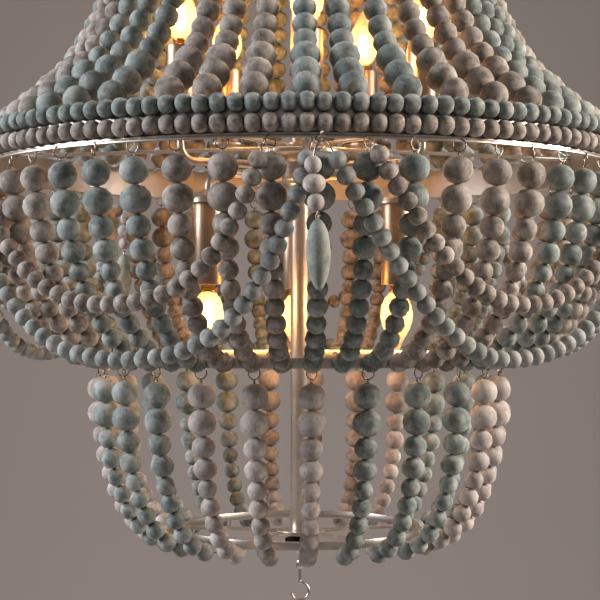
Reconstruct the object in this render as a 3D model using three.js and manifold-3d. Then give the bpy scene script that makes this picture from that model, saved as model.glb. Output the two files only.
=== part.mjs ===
// Beaded chandelier: three tiers of wooden beads strung between four metal rings, with looped swags,
// pendants, five candle lights that stand up and three that hang down, on a short chain.
// Millimetres, +Z up. The origin is on the ceiling, in the middle of the mounting bar's top face.
// A bearing of zero faces -Y, the front, and grows towards +X.

import * as THREE from 'three';
import { mergeVertices } from 'three/addons/utils/BufferGeometryUtils.js';
import Module from 'manifold-3d';

const wasm = await Module();
wasm.setup();

const FULL_TURN = Math.PI * 2;
const QUARTER_TURN = Math.PI / 2;

// Driving counts
const BAYS = 5;
const STRANDS_PER_BAY = 10;
const RIM_STRANDS = BAYS * STRANDS_PER_BAY;
const FOOT_STRANDS = RIM_STRANDS / 2;
const DOWN_LIGHTS = 3;

// Driving radii of the four rings
const CROWN_RADIUS = 116;
const RIM_RADIUS = 314;
const WAIST_RADIUS = 206;
const FOOT_RADIUS = 121;

// Driving heights below the ceiling
const CROWN_DROP = 204;
const RIM_DROP = 670;
const WAIST_DROP = 859.5;
const FOOT_DROP = 1031;

// Heights and walls of the rings' flat metal
const CROWN_BAR_HEIGHT = 10;
const RIM_BAND_HEIGHT = 37;
const RIM_WALL = 2;
const WAIST_BAR_HEIGHT = 9.6;
const FOOT_BAR_HEIGHT = 8;
const BAR_WALL = 4;

// Beads: diameter across the string and length along it
const LARGE_BEAD = { across: 25, along: 23.3 };
const MIDDLE_BEAD = { across: 20.5, along: 19.5 };
const SMALL_BEAD = { across: 17.6, along: 17 };
const CROWN_BEAD = { across: 13, along: 13.5 };
const SWAG_BEAD = { across: 16, along: 14.5 };
const STRING_RADIUS = 1.4;

// Swags: how far the lowest bead hangs below the rim
const LONG_SWAG_DROP = 181;
const SHORT_SWAG_DROP = 134;

const STEM_RADIUS = 9.5;
const TUBE_RADIUS = 4;
const CANDLE_RADIUS = 15;
const CANDLE_LENGTH = 80;
const UP_LIGHT_RADIUS = 125;
const DOWN_LIGHT_RADIUS = 106;

// Gap that is left between two pieces that touch
const SEAT_GAP = 0.3;
const ROUND_SIDES = 20;

const group = new THREE.Group();

// Materials

function finish(color, roughness, metalness) {
  return new THREE.MeshStandardMaterial({ color, roughness, metalness });
}

const metalFinish = () => finish('#b9b1a6', 0.35, 1);
const darkNutFinish = () => finish('#26221f', 0.5, 0.8);
const greenWood = () => finish('#6f8583', 0.85, 0);
const taupeWood = () => finish('#8a817d', 0.85, 0);
const paleWood = () => finish('#b3aaa8', 0.85, 0);
const candleFinish = () => finish('#c9bfb2', 0.45, 0.6);
const bulbGlass = () => finish('#ffd9a0', 0.05, 0);

function addPart(name, geometry, material) {
  const mesh = new THREE.Mesh(geometry, material);
  mesh.name = name;
  group.add(mesh);
  return mesh;
}

// Places

function placeAt(radius, bearing, height) {
  return new THREE.Vector3(radius * Math.sin(bearing), -radius * Math.cos(bearing), height);
}

const outwardAt = (bearing) => placeAt(1, bearing, 0);

function bearingsOf(count, start = 0) {
  return Array.from({ length: count }, (unused, index) => start + index * FULL_TURN / count);
}

// Solids

function welded(geometry) {
  geometry.deleteAttribute('normal');
  geometry.deleteAttribute('uv');
  const merged = mergeVertices(geometry);
  const corners = merged.index.array;
  const kept = [];
  for (let first = 0; first < corners.length; first += 3) {
    const [a, b, c] = corners.slice(first, first + 3);
    if (a !== b && b !== c && c !== a) kept.push(a, b, c);
  }
  merged.setIndex(kept);
  return merged;
}

function turned(profile, sides = ROUND_SIDES) {
  const points = profile.map(([radius, height]) => new THREE.Vector2(radius, height));
  const geometry = new THREE.LatheGeometry(points, sides);
  geometry.rotateX(QUARTER_TURN);
  return welded(geometry);
}

// A hoop's profile goes up its outside and down its inside.
function hoop(inner, outer, bottom, top, sides) {
  return turned([[inner, bottom], [outer, bottom], [outer, top], [inner, top], [inner, bottom]], sides);
}

function block(width, depth, height, centre) {
  const geometry = new THREE.BoxGeometry(width, depth, height);
  geometry.translate(centre.x, centre.y, centre.z);
  return welded(geometry);
}

// A station has a centre, a radius and a direction that its first corner points in.
function sweep(stations, sides, closed = false) {
  const count = stations.length;
  const positions = [];
  const faces = [];
  stations.forEach((station, index) => {
    const before = stations[closed ? (index + count - 1) % count : Math.max(index - 1, 0)].centre;
    const after = stations[closed ? (index + 1) % count : Math.min(index + 1, count - 1)].centre;
    const along = after.clone().sub(before).normalize();
    const across = station.side.clone().addScaledVector(along, -along.dot(station.side)).normalize();
    const third = along.clone().cross(across);
    for (let corner = 0; corner < sides; corner += 1) {
      const turn = corner / sides * FULL_TURN;
      const point = station.centre.clone();
      point.addScaledVector(across, station.radius * Math.cos(turn));
      point.addScaledVector(third, station.radius * Math.sin(turn));
      positions.push(point.x, point.y, point.z);
    }
  });
  const vertexOf = (index, corner) => (index % count) * sides + corner % sides;
  for (let index = 0; index < (closed ? count : count - 1); index += 1) {
    for (let corner = 0; corner < sides; corner += 1) {
      const a = vertexOf(index, corner);
      const b = vertexOf(index, corner + 1);
      const c = vertexOf(index + 1, corner + 1);
      const d = vertexOf(index + 1, corner);
      faces.push(a, b, c, a, c, d);
    }
  }
  if (!closed) {
    for (let corner = 1; corner + 1 < sides; corner += 1) {
      faces.push(vertexOf(0, 0), vertexOf(0, corner + 1), vertexOf(0, corner));
      faces.push(vertexOf(count - 1, 0), vertexOf(count - 1, corner), vertexOf(count - 1, corner + 1));
    }
  }
  const geometry = new THREE.BufferGeometry();
  geometry.setAttribute('position', new THREE.Float32BufferAttribute(positions, 3));
  geometry.setIndex(faces);
  return geometry;
}

function solidOf(geometry) {
  return new wasm.Manifold(new wasm.Mesh({
    numProp: 3,
    vertProperties: geometry.getAttribute('position').array,
    triVerts: new Uint32Array(geometry.index.array),
  }));
}

function geometryOf(solid) {
  const mesh = solid.getMesh();
  const geometry = new THREE.BufferGeometry();
  geometry.setAttribute('position', new THREE.BufferAttribute(mesh.vertProperties, 3));
  geometry.setIndex(new THREE.BufferAttribute(mesh.triVerts, 1));
  return geometry;
}

function joined(first, ...others) {
  return geometryOf(others.reduce((sum, other) => sum.add(solidOf(other)), solidOf(first)));
}

function cutBy(body, ...tools) {
  return geometryOf(tools.reduce((rest, tool) => rest.subtract(solidOf(tool)), solidOf(body)));
}

// Bead strings

const CURVE_STEPS = 400;
const NECK_SHARE = 0.42;

// A curve is walked in small steps, so that beads can be laid along its true length.
function measured(curve) {
  const points = Array.from({ length: CURVE_STEPS + 1 }, (unused, index) => curve(index / CURVE_STEPS));
  const lengths = [0];
  for (let index = 1; index <= CURVE_STEPS; index += 1) {
    lengths.push(lengths[index - 1] + points[index].distanceTo(points[index - 1]));
  }
  const total = lengths[CURVE_STEPS];
  const pointAt = (length) => {
    const wanted = Math.min(Math.max(length, 0), total);
    let step = lengths.findIndex((value) => value >= wanted);
    step = Math.max(step, 1);
    const share = (wanted - lengths[step - 1]) / (lengths[step] - lengths[step - 1]);
    return points[step - 1].clone().lerp(points[step], share);
  };
  return { total, pointAt };
}

// Each bead has a belly with a waist after it. A plain run is one smooth rod for several like beads,
// with as many stations as its plain value says.
function beadString(curve, runs, startLength, sideAt, sides) {
  const line = measured(curve);
  const stations = [];
  const put = (length, radius) => {
    stations.push({ centre: line.pointAt(length), radius, side: sideAt(length / line.total) });
  };
  put(0, STRING_RADIUS);
  if (startLength > STRING_RADIUS) put(startLength, STRING_RADIUS);
  let length = startLength;
  runs.forEach(({ bead, count, plain }) => {
    if (plain) {
      for (let stop = 0; stop < plain; stop += 1) {
        put(length + bead.along * (1 / 2 + (count - 1) * stop / (plain - 1)), bead.across / 2);
      }
      length += bead.along * count;
      return;
    }
    for (let index = 0; index < count; index += 1) {
      put(length + bead.along / 2, bead.across / 2);
      length += bead.along;
      put(length, bead.across / 2 * NECK_SHARE);
    }
  });
  put(line.total, STRING_RADIUS);
  return sweep(stations, sides);
}

// The three tiers

const rimTop = -RIM_DROP + RIM_BAND_HEIGHT;
const rimMiddle = RIM_RADIUS - RIM_WALL / 2;
const waistTop = -WAIST_DROP + WAIST_BAR_HEIGHT;
const footTop = -FOOT_DROP + FOOT_BAR_HEIGHT;

// The upper tier sweeps in like a tent: steeper and steeper towards the crown.
const UPPER_SWEEP_SHARE = 2.2;
function upperCurve(bearing) {
  const low = rimTop + SEAT_GAP + STRING_RADIUS;
  const high = -CROWN_DROP - CROWN_BAR_HEIGHT / 2;
  const outer = rimMiddle;
  const inner = CROWN_RADIUS;
  return (share) => {
    const radius = inner + (outer - inner) * (1 - share) ** UPPER_SWEEP_SHARE;
    return placeAt(radius, bearing, low + (high - low) * share);
  };
}

// The two lower tiers are quarter ellipses, as loaded strings hang under a wide ring and tuck in.
function bowlCurve(bearing, outer, inner, top, bottom) {
  return (share) => {
    const angle = share * QUARTER_TURN;
    const radius = inner + (outer - inner) * Math.cos(angle);
    return placeAt(radius, bearing, top + (bottom - top) * Math.sin(angle));
  };
}

const bowlTop = -RIM_DROP - SEAT_GAP;
const bowlBottom = -WAIST_DROP + WAIST_BAR_HEIGHT / 2;
const basketTop = -WAIST_DROP - SEAT_GAP;
const basketBottom = -FOOT_DROP + FOOT_BAR_HEIGHT / 2;
const middleCurve = (bearing) => bowlCurve(
  bearing, rimMiddle, WAIST_RADIUS - BAR_WALL / 2, bowlTop, bowlBottom,
);
const lowerCurve = (bearing) => bowlCurve(
  bearing, WAIST_RADIUS - BAR_WALL / 2, FOOT_RADIUS - BAR_WALL / 2, basketTop, basketBottom,
);

const TIER_HANGER = 10;
const STRAND_SIDES = 3;

const upperRuns = (length) => {
  const lead = [
    { bead: LARGE_BEAD, count: 3, plain: 2 },
    { bead: MIDDLE_BEAD, count: 8, plain: 2 },
  ];
  const used = lead.reduce((sum, { bead, count }) => sum + bead.along * count, 0);
  const last = Math.floor((length - used) / CROWN_BEAD.along);
  return [...lead, { bead: CROWN_BEAD, count: last, plain: 3 }];
};

const MIDDLE_RUNS = [
  { bead: LARGE_BEAD, count: 2 },
  { bead: MIDDLE_BEAD, count: 2, plain: 2 },
  { bead: SMALL_BEAD, count: 7, plain: 3 },
];

const LOWER_RUNS = [
  { bead: LARGE_BEAD, count: 2 },
  { bead: MIDDLE_BEAD, count: 2 },
  { bead: SMALL_BEAD, count: 6, plain: 3 },
];

function upperString(bearing) {
  const curve = upperCurve(bearing);
  const runs = upperRuns(measured(curve).total);
  return beadString(curve, runs, STRING_RADIUS, () => outwardAt(bearing), STRAND_SIDES);
}

function middleString(bearing) {
  return beadString(middleCurve(bearing), MIDDLE_RUNS, TIER_HANGER, () => outwardAt(bearing), STRAND_SIDES);
}

function lowerString(bearing) {
  return beadString(lowerCurve(bearing), LOWER_RUNS, TIER_HANGER, () => outwardAt(bearing), STRAND_SIDES);
}

// Swags lie on the middle tier near their hooks and swing free of it between.

const SWAG_STEEPNESS_SHARE = 1.8;
const SWAG_CLEARANCE = 1;
const SWAG_HOOK_DROP = 5;
const SWAG_TIE_SHARE = 0.04;
const NODE_SPREAD = 17;
const LARGE_TO_SMALL_SHARE = 0.55;

function swagSeatRadius(height) {
  const down = Math.min(Math.max((bowlTop - height) / (bowlTop - bowlBottom), 0), 1);
  const strand = WAIST_RADIUS + (rimMiddle - WAIST_RADIUS) * Math.sqrt(1 - down ** 2);
  const thin = Math.min(down / LARGE_TO_SMALL_SHARE, 1);
  const strandHalf = (LARGE_BEAD.across + (SMALL_BEAD.across - LARGE_BEAD.across) * thin) / 2;
  return strand + strandHalf + SWAG_BEAD.across / 2 + SWAG_CLEARANCE;
}

function swagCurve(middleBearing, halfAngle, drop) {
  const high = -RIM_DROP - SWAG_HOOK_DROP;
  const low = -RIM_DROP - drop;
  const sagOf = (share) => Math.cosh(SWAG_STEEPNESS_SHARE * share) - 1;
  const heightAt = (share) => low + (high - low) * sagOf(share) / sagOf(1);
  let freeRadius = 0;
  for (let step = 0; step <= CURVE_STEPS; step += 1) {
    const share = step / CURVE_STEPS;
    freeRadius = Math.max(freeRadius, swagSeatRadius(heightAt(share)) * Math.cos(share * halfAngle));
  }
  const draped = (share) => {
    const angle = share * halfAngle;
    const radius = Math.max(freeRadius / Math.cos(angle), swagSeatRadius(heightAt(share)));
    return placeAt(radius, middleBearing + angle, heightAt(share));
  };
  const tied = (end) => placeAt(RIM_RADIUS, middleBearing + end * halfAngle, bowlTop - STRING_RADIUS);
  return (position) => {
    const share = (2 * position - 1) / (1 - SWAG_TIE_SHARE);
    const beyond = (Math.abs(share) - 1) * (1 - SWAG_TIE_SHARE) / SWAG_TIE_SHARE;
    const end = Math.sign(share);
    return beyond > 0 ? draped(end).lerp(tied(end), beyond) : draped(share);
  };
}

function swagString(middleBearing, halfAngle, drop) {
  const curve = swagCurve(middleBearing, halfAngle, drop);
  const line = measured(curve);
  const tie = curve(0).distanceTo(curve(SWAG_TIE_SHARE / 2));
  const count = Math.floor((line.total - 2 * tie) / SWAG_BEAD.along);
  const start = (line.total - count * SWAG_BEAD.along) / 2;
  const side = (share) => outwardAt(middleBearing + (2 * share - 1) * halfAngle);
  return beadString(curve, [{ bead: SWAG_BEAD, count }], start, side, STRAND_SIDES);
}

const bayAngle = FULL_TURN / BAYS;
const strandAngle = FULL_TURN / RIM_STRANDS;
const nodeSpreadAngle = NODE_SPREAD / RIM_RADIUS;

bearingsOf(BAYS, bayAngle / 2).forEach((bearing, index) => {
  const longHalf = bayAngle / 2 - nodeSpreadAngle;
  const shortHalf = bayAngle / 2 - strandAngle * 3 / 2;
  addPart(`long_swag_${index + 1}`, swagString(bearing, longHalf, LONG_SWAG_DROP), greenWood());
  addPart(`short_swag_${index + 1}`, swagString(bearing, shortHalf, SHORT_SWAG_DROP), taupeWood());
});

// Two rows of barrel beads wired round the rim, each row one plain hoop
const RIM_BEAD = { across: 14, tall: 15.8 };
const RIM_ROW_PITCH = 16.5;
const RIM_ROW_RISE = 10.5;

function rimRow(height) {
  const middle = RIM_RADIUS + SEAT_GAP + RIM_BEAD.across / 2;
  const half = RIM_BEAD.tall / 2;
  return turned([
    [middle, height - half], [middle + RIM_BEAD.across / 2, height],
    [middle, height + half], [middle - RIM_BEAD.across / 2, height], [middle, height - half],
  ], RIM_STRANDS);
}

addPart('lower_rim_beads', rimRow(-RIM_DROP + RIM_ROW_RISE), taupeWood());
addPart('upper_rim_beads', rimRow(-RIM_DROP + RIM_ROW_RISE + RIM_ROW_PITCH), greenWood());

// Rings and spokes

const SPOKE_RADIUS = 2;
const SPOKE_SIDES = 6;
const COLLAR_WALL = 4;
const OVERRUN = 1;
const stemBore = STEM_RADIUS + SEAT_GAP;

function rod(from, to, radius, sides = SPOKE_SIDES) {
  const along = to.clone().sub(from);
  const side = Math.abs(along.z) > Math.hypot(along.x, along.y)
    ? new THREE.Vector3(1, 0, 0) : new THREE.Vector3(0, 0, 1);
  return sweep([{ centre: from, radius, side }, { centre: to, radius, side }], sides);
}

// Spokes run from the stem's collar into a ring's wall.
function spokes(count, start, inner, outer, height, radius) {
  return bearingsOf(count, start).map((bearing) => rod(
    placeAt(inner, bearing, height), placeAt(outer, bearing, height), radius,
  ));
}

function collar(bottom, top, outer = stemBore + COLLAR_WALL) {
  return hoop(stemBore, outer, bottom, top, ROUND_SIDES);
}

function crownRing() {
  const top = -CROWN_DROP;
  const bottom = top - CROWN_BAR_HEIGHT;
  const middle = (top + bottom) / 2;
  return joined(
    hoop(CROWN_RADIUS - BAR_WALL, CROWN_RADIUS + BAR_WALL / 2, bottom, top, FOOT_STRANDS),
    collar(bottom, top),
    ...spokes(BAYS, 0, stemBore + OVERRUN, CROWN_RADIUS - OVERRUN, middle, SPOKE_RADIUS),
  );
}

const LIP_HEIGHT = 3;
const LIP_REACH = 1.2;
const TAB_REACH = 25;
const TAB_WIDTH = 6;
const TAB_HEIGHT = 1.8;
const tabHeight = -RIM_DROP + TAB_HEIGHT / 2;

// The rim band has a rolled lip, a tab at each bay's end and spokes to a collar on the stem.
const RIM_SPOKE_RISE = 28;
function rimRing() {
  const outer = RIM_RADIUS;
  const inner = RIM_RADIUS - RIM_WALL;
  const band = turned([
    [inner, -RIM_DROP], [outer + LIP_REACH, -RIM_DROP], [outer + LIP_REACH, -RIM_DROP + TAB_HEIGHT],
    [outer, -RIM_DROP + LIP_HEIGHT], [outer, rimTop], [inner, rimTop], [inner, -RIM_DROP],
  ], RIM_STRANDS);
  const tabs = bearingsOf(BAYS).map((bearing) => {
    const centre = placeAt(outer + TAB_REACH / 2, 0, tabHeight);
    const tab = block(TAB_WIDTH, TAB_REACH, TAB_HEIGHT, centre);
    return tab.rotateZ(bearing);
  });
  return joined(band, ...tabs);
}

function rimSpokes() {
  const height = -RIM_DROP + RIM_SPOKE_RISE;
  const reach = (RIM_RADIUS - RIM_WALL) * Math.cos(Math.PI / RIM_STRANDS) - SEAT_GAP;
  return joined(
    collar(height - SPOKE_RADIUS * 2, height + SPOKE_RADIUS * 2),
    ...spokes(BAYS, bayAngle / 2, stemBore + OVERRUN, reach, height, SPOKE_RADIUS),
  );
}

function waistRing() {
  return hoop(WAIST_RADIUS - BAR_WALL, WAIST_RADIUS, -WAIST_DROP, waistTop, RIM_STRANDS);
}

const FOOT_PLATE_RADIUS = 24;
const FOOT_SPOKE_WIDTH = 12;
const FOOT_SPOKE_HEIGHT = 3;
function footRing() {
  const bottom = -FOOT_DROP;
  const plateTop = bottom + FOOT_SPOKE_HEIGHT;
  const inner = FOOT_RADIUS - BAR_WALL;
  const length = inner + OVERRUN - stemBore - OVERRUN;
  const arms = bearingsOf(BAYS, bayAngle / 2).map((bearing) => {
    const centre = placeAt(stemBore + OVERRUN + length / 2, 0, bottom + FOOT_SPOKE_HEIGHT / 2);
    return block(FOOT_SPOKE_WIDTH, length, FOOT_SPOKE_HEIGHT, centre).rotateZ(bearing);
  });
  const solid = joined(
    hoop(inner, FOOT_RADIUS, bottom, footTop, FOOT_STRANDS),
    hoop(stemBore, FOOT_PLATE_RADIUS, bottom, plateTop, ROUND_SIDES),
    ...arms,
  );
  const holes = bearingsOf(BAYS, bayAngle / 2).map((bearing) => rod(
    placeAt(FOOT_RADIUS / 2, bearing, bottom - OVERRUN),
    placeAt(FOOT_RADIUS / 2, bearing, plateTop + OVERRUN),
    TUBE_RADIUS / 2,
  ));
  return cutBy(solid, ...holes);
}

// Each tier is one piece with the ring that its strands are wired to, and only hangs at its other end.
const strandsOf = (count, stringAt) => bearingsOf(count).map((bearing) => stringAt(bearing));

addPart('upper_tier', joined(crownRing(), ...strandsOf(RIM_STRANDS, upperString)), taupeWood());
addPart('middle_tier', joined(waistRing(), ...strandsOf(RIM_STRANDS, middleString)), taupeWood());
addPart('lower_tier', joined(footRing(), ...strandsOf(FOOT_STRANDS, lowerString)), greenWood());
addPart('rim_ring', rimRing(), metalFinish());
addPart('rim_spokes', rimSpokes(), metalFinish());

// The stem runs from the loop above the crown to the nut under the foot ring.

const STEM_RISE = 16;
const STEM_TAIL = 3;
const stemTop = -CROWN_DROP + STEM_RISE;
const stemBottom = -FOOT_DROP - STEM_TAIL;

const cylinder = (radius, bottom, top, sides) => turned(
  [[0, bottom], [radius, bottom], [radius, top], [0, top]], sides,
);

addPart('center_stem', cylinder(STEM_RADIUS, stemBottom, stemTop, ROUND_SIDES), metalFinish());

const NUT_RADIUS = 15;
const NUT_HEIGHT = 9;
const NUT_SIDES = 6;
const nutTop = stemBottom - SEAT_GAP;
const nutBottom = nutTop - NUT_HEIGHT;
addPart('stem_nut', cylinder(NUT_RADIUS, nutBottom, nutTop, NUT_SIDES), darkNutFinish());

// The hub is turned, with a groove under its disc where the arms go in.

const HUB_RADIUS = 50;
const HUB_DISC_HEIGHT = 5;
const HUB_WAIST_RADIUS = 24;
const HUB_HEIGHT = 38;
const ARM_STAGGER = 12;
const hubTop = -RIM_DROP + RIM_SPOKE_RISE - SPOKE_RADIUS * 2 - SEAT_GAP;
const upArmHeight = hubTop - HUB_DISC_HEIGHT - HUB_HEIGHT / 4;
const downArmHeight = upArmHeight - ARM_STAGGER;

function armHub() {
  const disc = hubTop - HUB_DISC_HEIGHT;
  const bottom = hubTop - HUB_HEIGHT;
  return turned([
    [stemBore, bottom], [HUB_WAIST_RADIUS * 2 / 3, bottom],
    [HUB_WAIST_RADIUS, downArmHeight - TUBE_RADIUS * 3 / 2], [HUB_WAIST_RADIUS, upArmHeight + TUBE_RADIUS],
    [HUB_RADIUS, disc], [HUB_RADIUS, hubTop], [stemBore, hubTop], [stemBore, bottom],
  ]);
}

addPart('arm_hub', armHub(), metalFinish());

// Lights: an arm, a cup, a candle sleeve, a socket in the sleeve and a bulb

const ARM_SIDES = 6;
const ARM_BEND = 16;
const BEND_STEPS = 3;
const CUP_RADIUS = 19;
const CUP_HEIGHT = 12;
const CUP_FOOT_SHARE = 0.55;
const CANDLE_WALL = 1;
const SOCKET_RADIUS = 11;
const SOCKET_HEIGHT = 24;
const BULB_RADIUS = 16;
const BULB_HEIGHT = 66;
const LIGHT_SIDES = 8;
const UP_CUP_RISE = 4;
const DOWN_CUP_DROP = 1;

// An arm leaves the hub level and bends up or down to its cup.
function arm(bearing, reach, height, rise) {
  const side = placeAt(1, bearing + QUARTER_TURN, 0);
  const turn = Math.sign(rise);
  const start = (HUB_WAIST_RADIUS + SEAT_GAP) / Math.cos(Math.PI / ROUND_SIDES);
  const stations = [{ centre: placeAt(start, bearing, height), radius: TUBE_RADIUS, side }];
  for (let step = 0; step <= BEND_STEPS; step += 1) {
    const angle = step / BEND_STEPS * QUARTER_TURN;
    const radius = reach - ARM_BEND + ARM_BEND * Math.sin(angle);
    const bend = turn * ARM_BEND * (1 - Math.cos(angle));
    stations.push({ centre: placeAt(radius, bearing, height + bend), radius: TUBE_RADIUS, side });
  }
  stations.push({ centre: placeAt(reach, bearing, height + rise), radius: TUBE_RADIUS, side });
  return sweep(stations, ARM_SIDES);
}

// A light's profile heights count from its cup's foot, and a hanging light is the same one upside down.
function lightPiece(profile, sides, bearing, reach, foot, turn) {
  const ordered = turn > 0 ? profile : [...profile].reverse();
  const geometry = turned(ordered.map(([radius, height]) => [radius, turn * height]), sides);
  const place = placeAt(reach, bearing, foot);
  return geometry.translate(place.x, place.y, place.z);
}

const POST_RADIUS = 5;
const candleFoot = CUP_HEIGHT + SEAT_GAP;
const candleTop = candleFoot + CANDLE_LENGTH;
const socketFoot = candleTop - SOCKET_HEIGHT;
const CUP_PROFILE = [
  [0, 0], [CUP_RADIUS * CUP_FOOT_SHARE, 0], [CUP_RADIUS, CUP_HEIGHT], [POST_RADIUS, CUP_HEIGHT],
  [POST_RADIUS, socketFoot], [SOCKET_RADIUS, socketFoot], [SOCKET_RADIUS, candleTop], [0, candleTop],
];
const CANDLE_PROFILE = [
  [CANDLE_RADIUS - CANDLE_WALL, candleFoot], [CANDLE_RADIUS, candleFoot], [CANDLE_RADIUS, candleTop],
  [CANDLE_RADIUS - CANDLE_WALL, candleTop], [CANDLE_RADIUS - CANDLE_WALL, candleFoot],
];
const bulbFoot = candleTop + SEAT_GAP;
const BULB_PROFILE = [
  [0, bulbFoot], [BULB_RADIUS * 5 / 8, bulbFoot], [BULB_RADIUS * 3 / 4, bulbFoot + BULB_HEIGHT / 6],
  [BULB_RADIUS, bulbFoot + BULB_HEIGHT * 3 / 7], [BULB_RADIUS * 2 / 3, bulbFoot + BULB_HEIGHT * 3 / 4],
  [0, bulbFoot + BULB_HEIGHT],
];

let lightNumber = 0;
function addLight(bearing, reach, rise) {
  lightNumber += 1;
  const turn = Math.sign(rise);
  const height = turn > 0 ? upArmHeight : downArmHeight;
  const foot = height + turn * ARM_BEND + rise;
  const piece = (profile) => lightPiece(profile, LIGHT_SIDES, bearing, reach, foot, turn);
  const tube = arm(bearing, reach, height, foot + turn * OVERRUN - height);
  addPart(`arm_${lightNumber}`, joined(tube, piece(CUP_PROFILE)), metalFinish());
  addPart(`candle_sleeve_${lightNumber}`, piece(CANDLE_PROFILE), candleFinish());
  addPart(`bulb_${lightNumber}`, piece(BULB_PROFILE), bulbGlass());
}

bearingsOf(BAYS).forEach((bearing) => addLight(bearing, UP_LIGHT_RADIUS, UP_CUP_RISE));
bearingsOf(DOWN_LIGHTS, Math.PI).forEach((bearing) => addLight(bearing, DOWN_LIGHT_RADIUS, -DOWN_CUP_DROP));

// A pendant hangs from each tab: a wire, three small beads, a wire eye and a long spindle bead.

const PENDANT_TOP_BEAD = { across: 13.8, along: 14 };
const PENDANT_BEAD = { across: 18.4, along: 15 };
const SPINDLE = { across: 20, along: 57 };
const PENDANT_LEAD = 13;
const SPINDLE_EYE = 7;
const PENDANT_WIRE_RADIUS = 1;
const PENDANT_SIDES = 6;
const PENDANT_GAP = 0.5;
const pendantRadius = RIM_RADIUS + TAB_REACH - 2;
const pendantTop = -RIM_DROP - PENDANT_GAP;

function pendant(bearing) {
  const side = outwardAt(bearing);
  const stations = [];
  let drop = 0;
  const put = (down, radius) => {
    drop += down;
    stations.push({ centre: placeAt(pendantRadius, bearing, pendantTop - drop), radius, side });
  };
  put(0, PENDANT_WIRE_RADIUS);
  put(PENDANT_LEAD, PENDANT_WIRE_RADIUS);
  [PENDANT_TOP_BEAD, PENDANT_BEAD, PENDANT_TOP_BEAD].forEach((bead) => {
    put(bead.along / 2, bead.across / 2);
    put(bead.along / 2, bead.across / 2 * NECK_SHARE);
  });
  put(SPINDLE_EYE, PENDANT_WIRE_RADIUS);
  [1 / 4, 3 / 4, 1, 3 / 4, 1 / 8].forEach((share, index, shares) => {
    put(SPINDLE.along / shares.length, SPINDLE.across / 2 * share);
  });
  return sweep(stations.reverse(), PENDANT_SIDES);
}

bearingsOf(BAYS).forEach((bearing, index) => addPart(`pendant_${index + 1}`, pendant(bearing), paleWood()));

// Finial: a turned knob with an eye under the nut, and an open hook that swings in it

const KNOB_RADIUS = 8;
const KNOB_HEIGHT = 9;
const WIRE_RADIUS = 1.6;
const HOOK_RADIUS = 9;
const HOOK_LENGTH = 30;
const WIRE_SIDES = 6;
const HOOK_STEPS = 9;
const knobTop = nutBottom - SEAT_GAP;
const knobBottom = knobTop - KNOB_HEIGHT;

addPart('finial_knob', turned([
  [0, knobBottom], [KNOB_RADIUS / 3, knobBottom], [KNOB_RADIUS, knobTop - KNOB_HEIGHT / 2],
  [KNOB_RADIUS * 2 / 3, knobTop], [0, knobTop],
], LIGHT_SIDES), metalFinish());

function finialHook() {
  const side = new THREE.Vector3(0, 1, 0);
  const top = knobBottom - PENDANT_GAP;
  const eye = top - HOOK_LENGTH;
  const centre = eye - HOOK_RADIUS;
  const stations = [
    { centre: new THREE.Vector3(0, 0, top), radius: WIRE_RADIUS, side },
    { centre: new THREE.Vector3(0, 0, eye), radius: WIRE_RADIUS, side },
  ];
  for (let step = 1; step <= HOOK_STEPS; step += 1) {
    const angle = QUARTER_TURN - step / HOOK_STEPS * FULL_TURN * 3 / 4;
    const x = HOOK_RADIUS * Math.cos(angle);
    const z = centre + HOOK_RADIUS * Math.sin(angle);
    stations.push({ centre: new THREE.Vector3(x, 0, z), radius: WIRE_RADIUS, side });
  }
  return sweep(stations, WIRE_SIDES);
}

addPart('finial_hook', finialHook(), metalFinish());

// Ceiling: a mounting bar, a canopy under it, a collar with a loop, three links and the stem's loop

const BAR_LENGTH = 104;
const BAR_WIDTH = 26;
const BAR_HEIGHT = 3;
const CANOPY_RADIUS = 66;
const CANOPY_HEIGHT = 28;
const CANOPY_WALL = 1.6;
const CANOPY_HOLE_RADIUS = 6;
const COLLAR_RADIUS = 12;
const COLLAR_HEIGHT = 9;
const LINK_WIRE_RADIUS = 2.4;
const LINK_HALF_WIDTH = 9;
const LINK_BEND_STEPS = 6;
const LINK_SIDES = 6;

const barCentre = new THREE.Vector3(0, 0, -BAR_HEIGHT / 2);
addPart('mounting_bar', block(BAR_LENGTH, BAR_WIDTH, BAR_HEIGHT, barCentre), metalFinish());

const canopyRim = -SEAT_GAP;
const canopyBase = canopyRim - CANOPY_HEIGHT;
addPart('ceiling_canopy', turned([
  [CANOPY_HOLE_RADIUS, canopyBase], [CANOPY_RADIUS / 2, canopyBase],
  [CANOPY_RADIUS * 5 / 6, canopyBase + CANOPY_HEIGHT / 4],
  [CANOPY_RADIUS, canopyRim - CANOPY_HEIGHT / 4], [CANOPY_RADIUS, canopyRim],
  [CANOPY_RADIUS - CANOPY_WALL, canopyRim], [CANOPY_RADIUS - CANOPY_WALL, canopyRim - CANOPY_HEIGHT / 4],
  [CANOPY_RADIUS * 5 / 6 - CANOPY_WALL, canopyBase + CANOPY_HEIGHT / 4 + CANOPY_WALL],
  [CANOPY_RADIUS / 2, canopyBase + CANOPY_WALL], [CANOPY_HOLE_RADIUS, canopyBase + CANOPY_WALL],
  [CANOPY_HOLE_RADIUS, canopyBase],
]), metalFinish());

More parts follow.
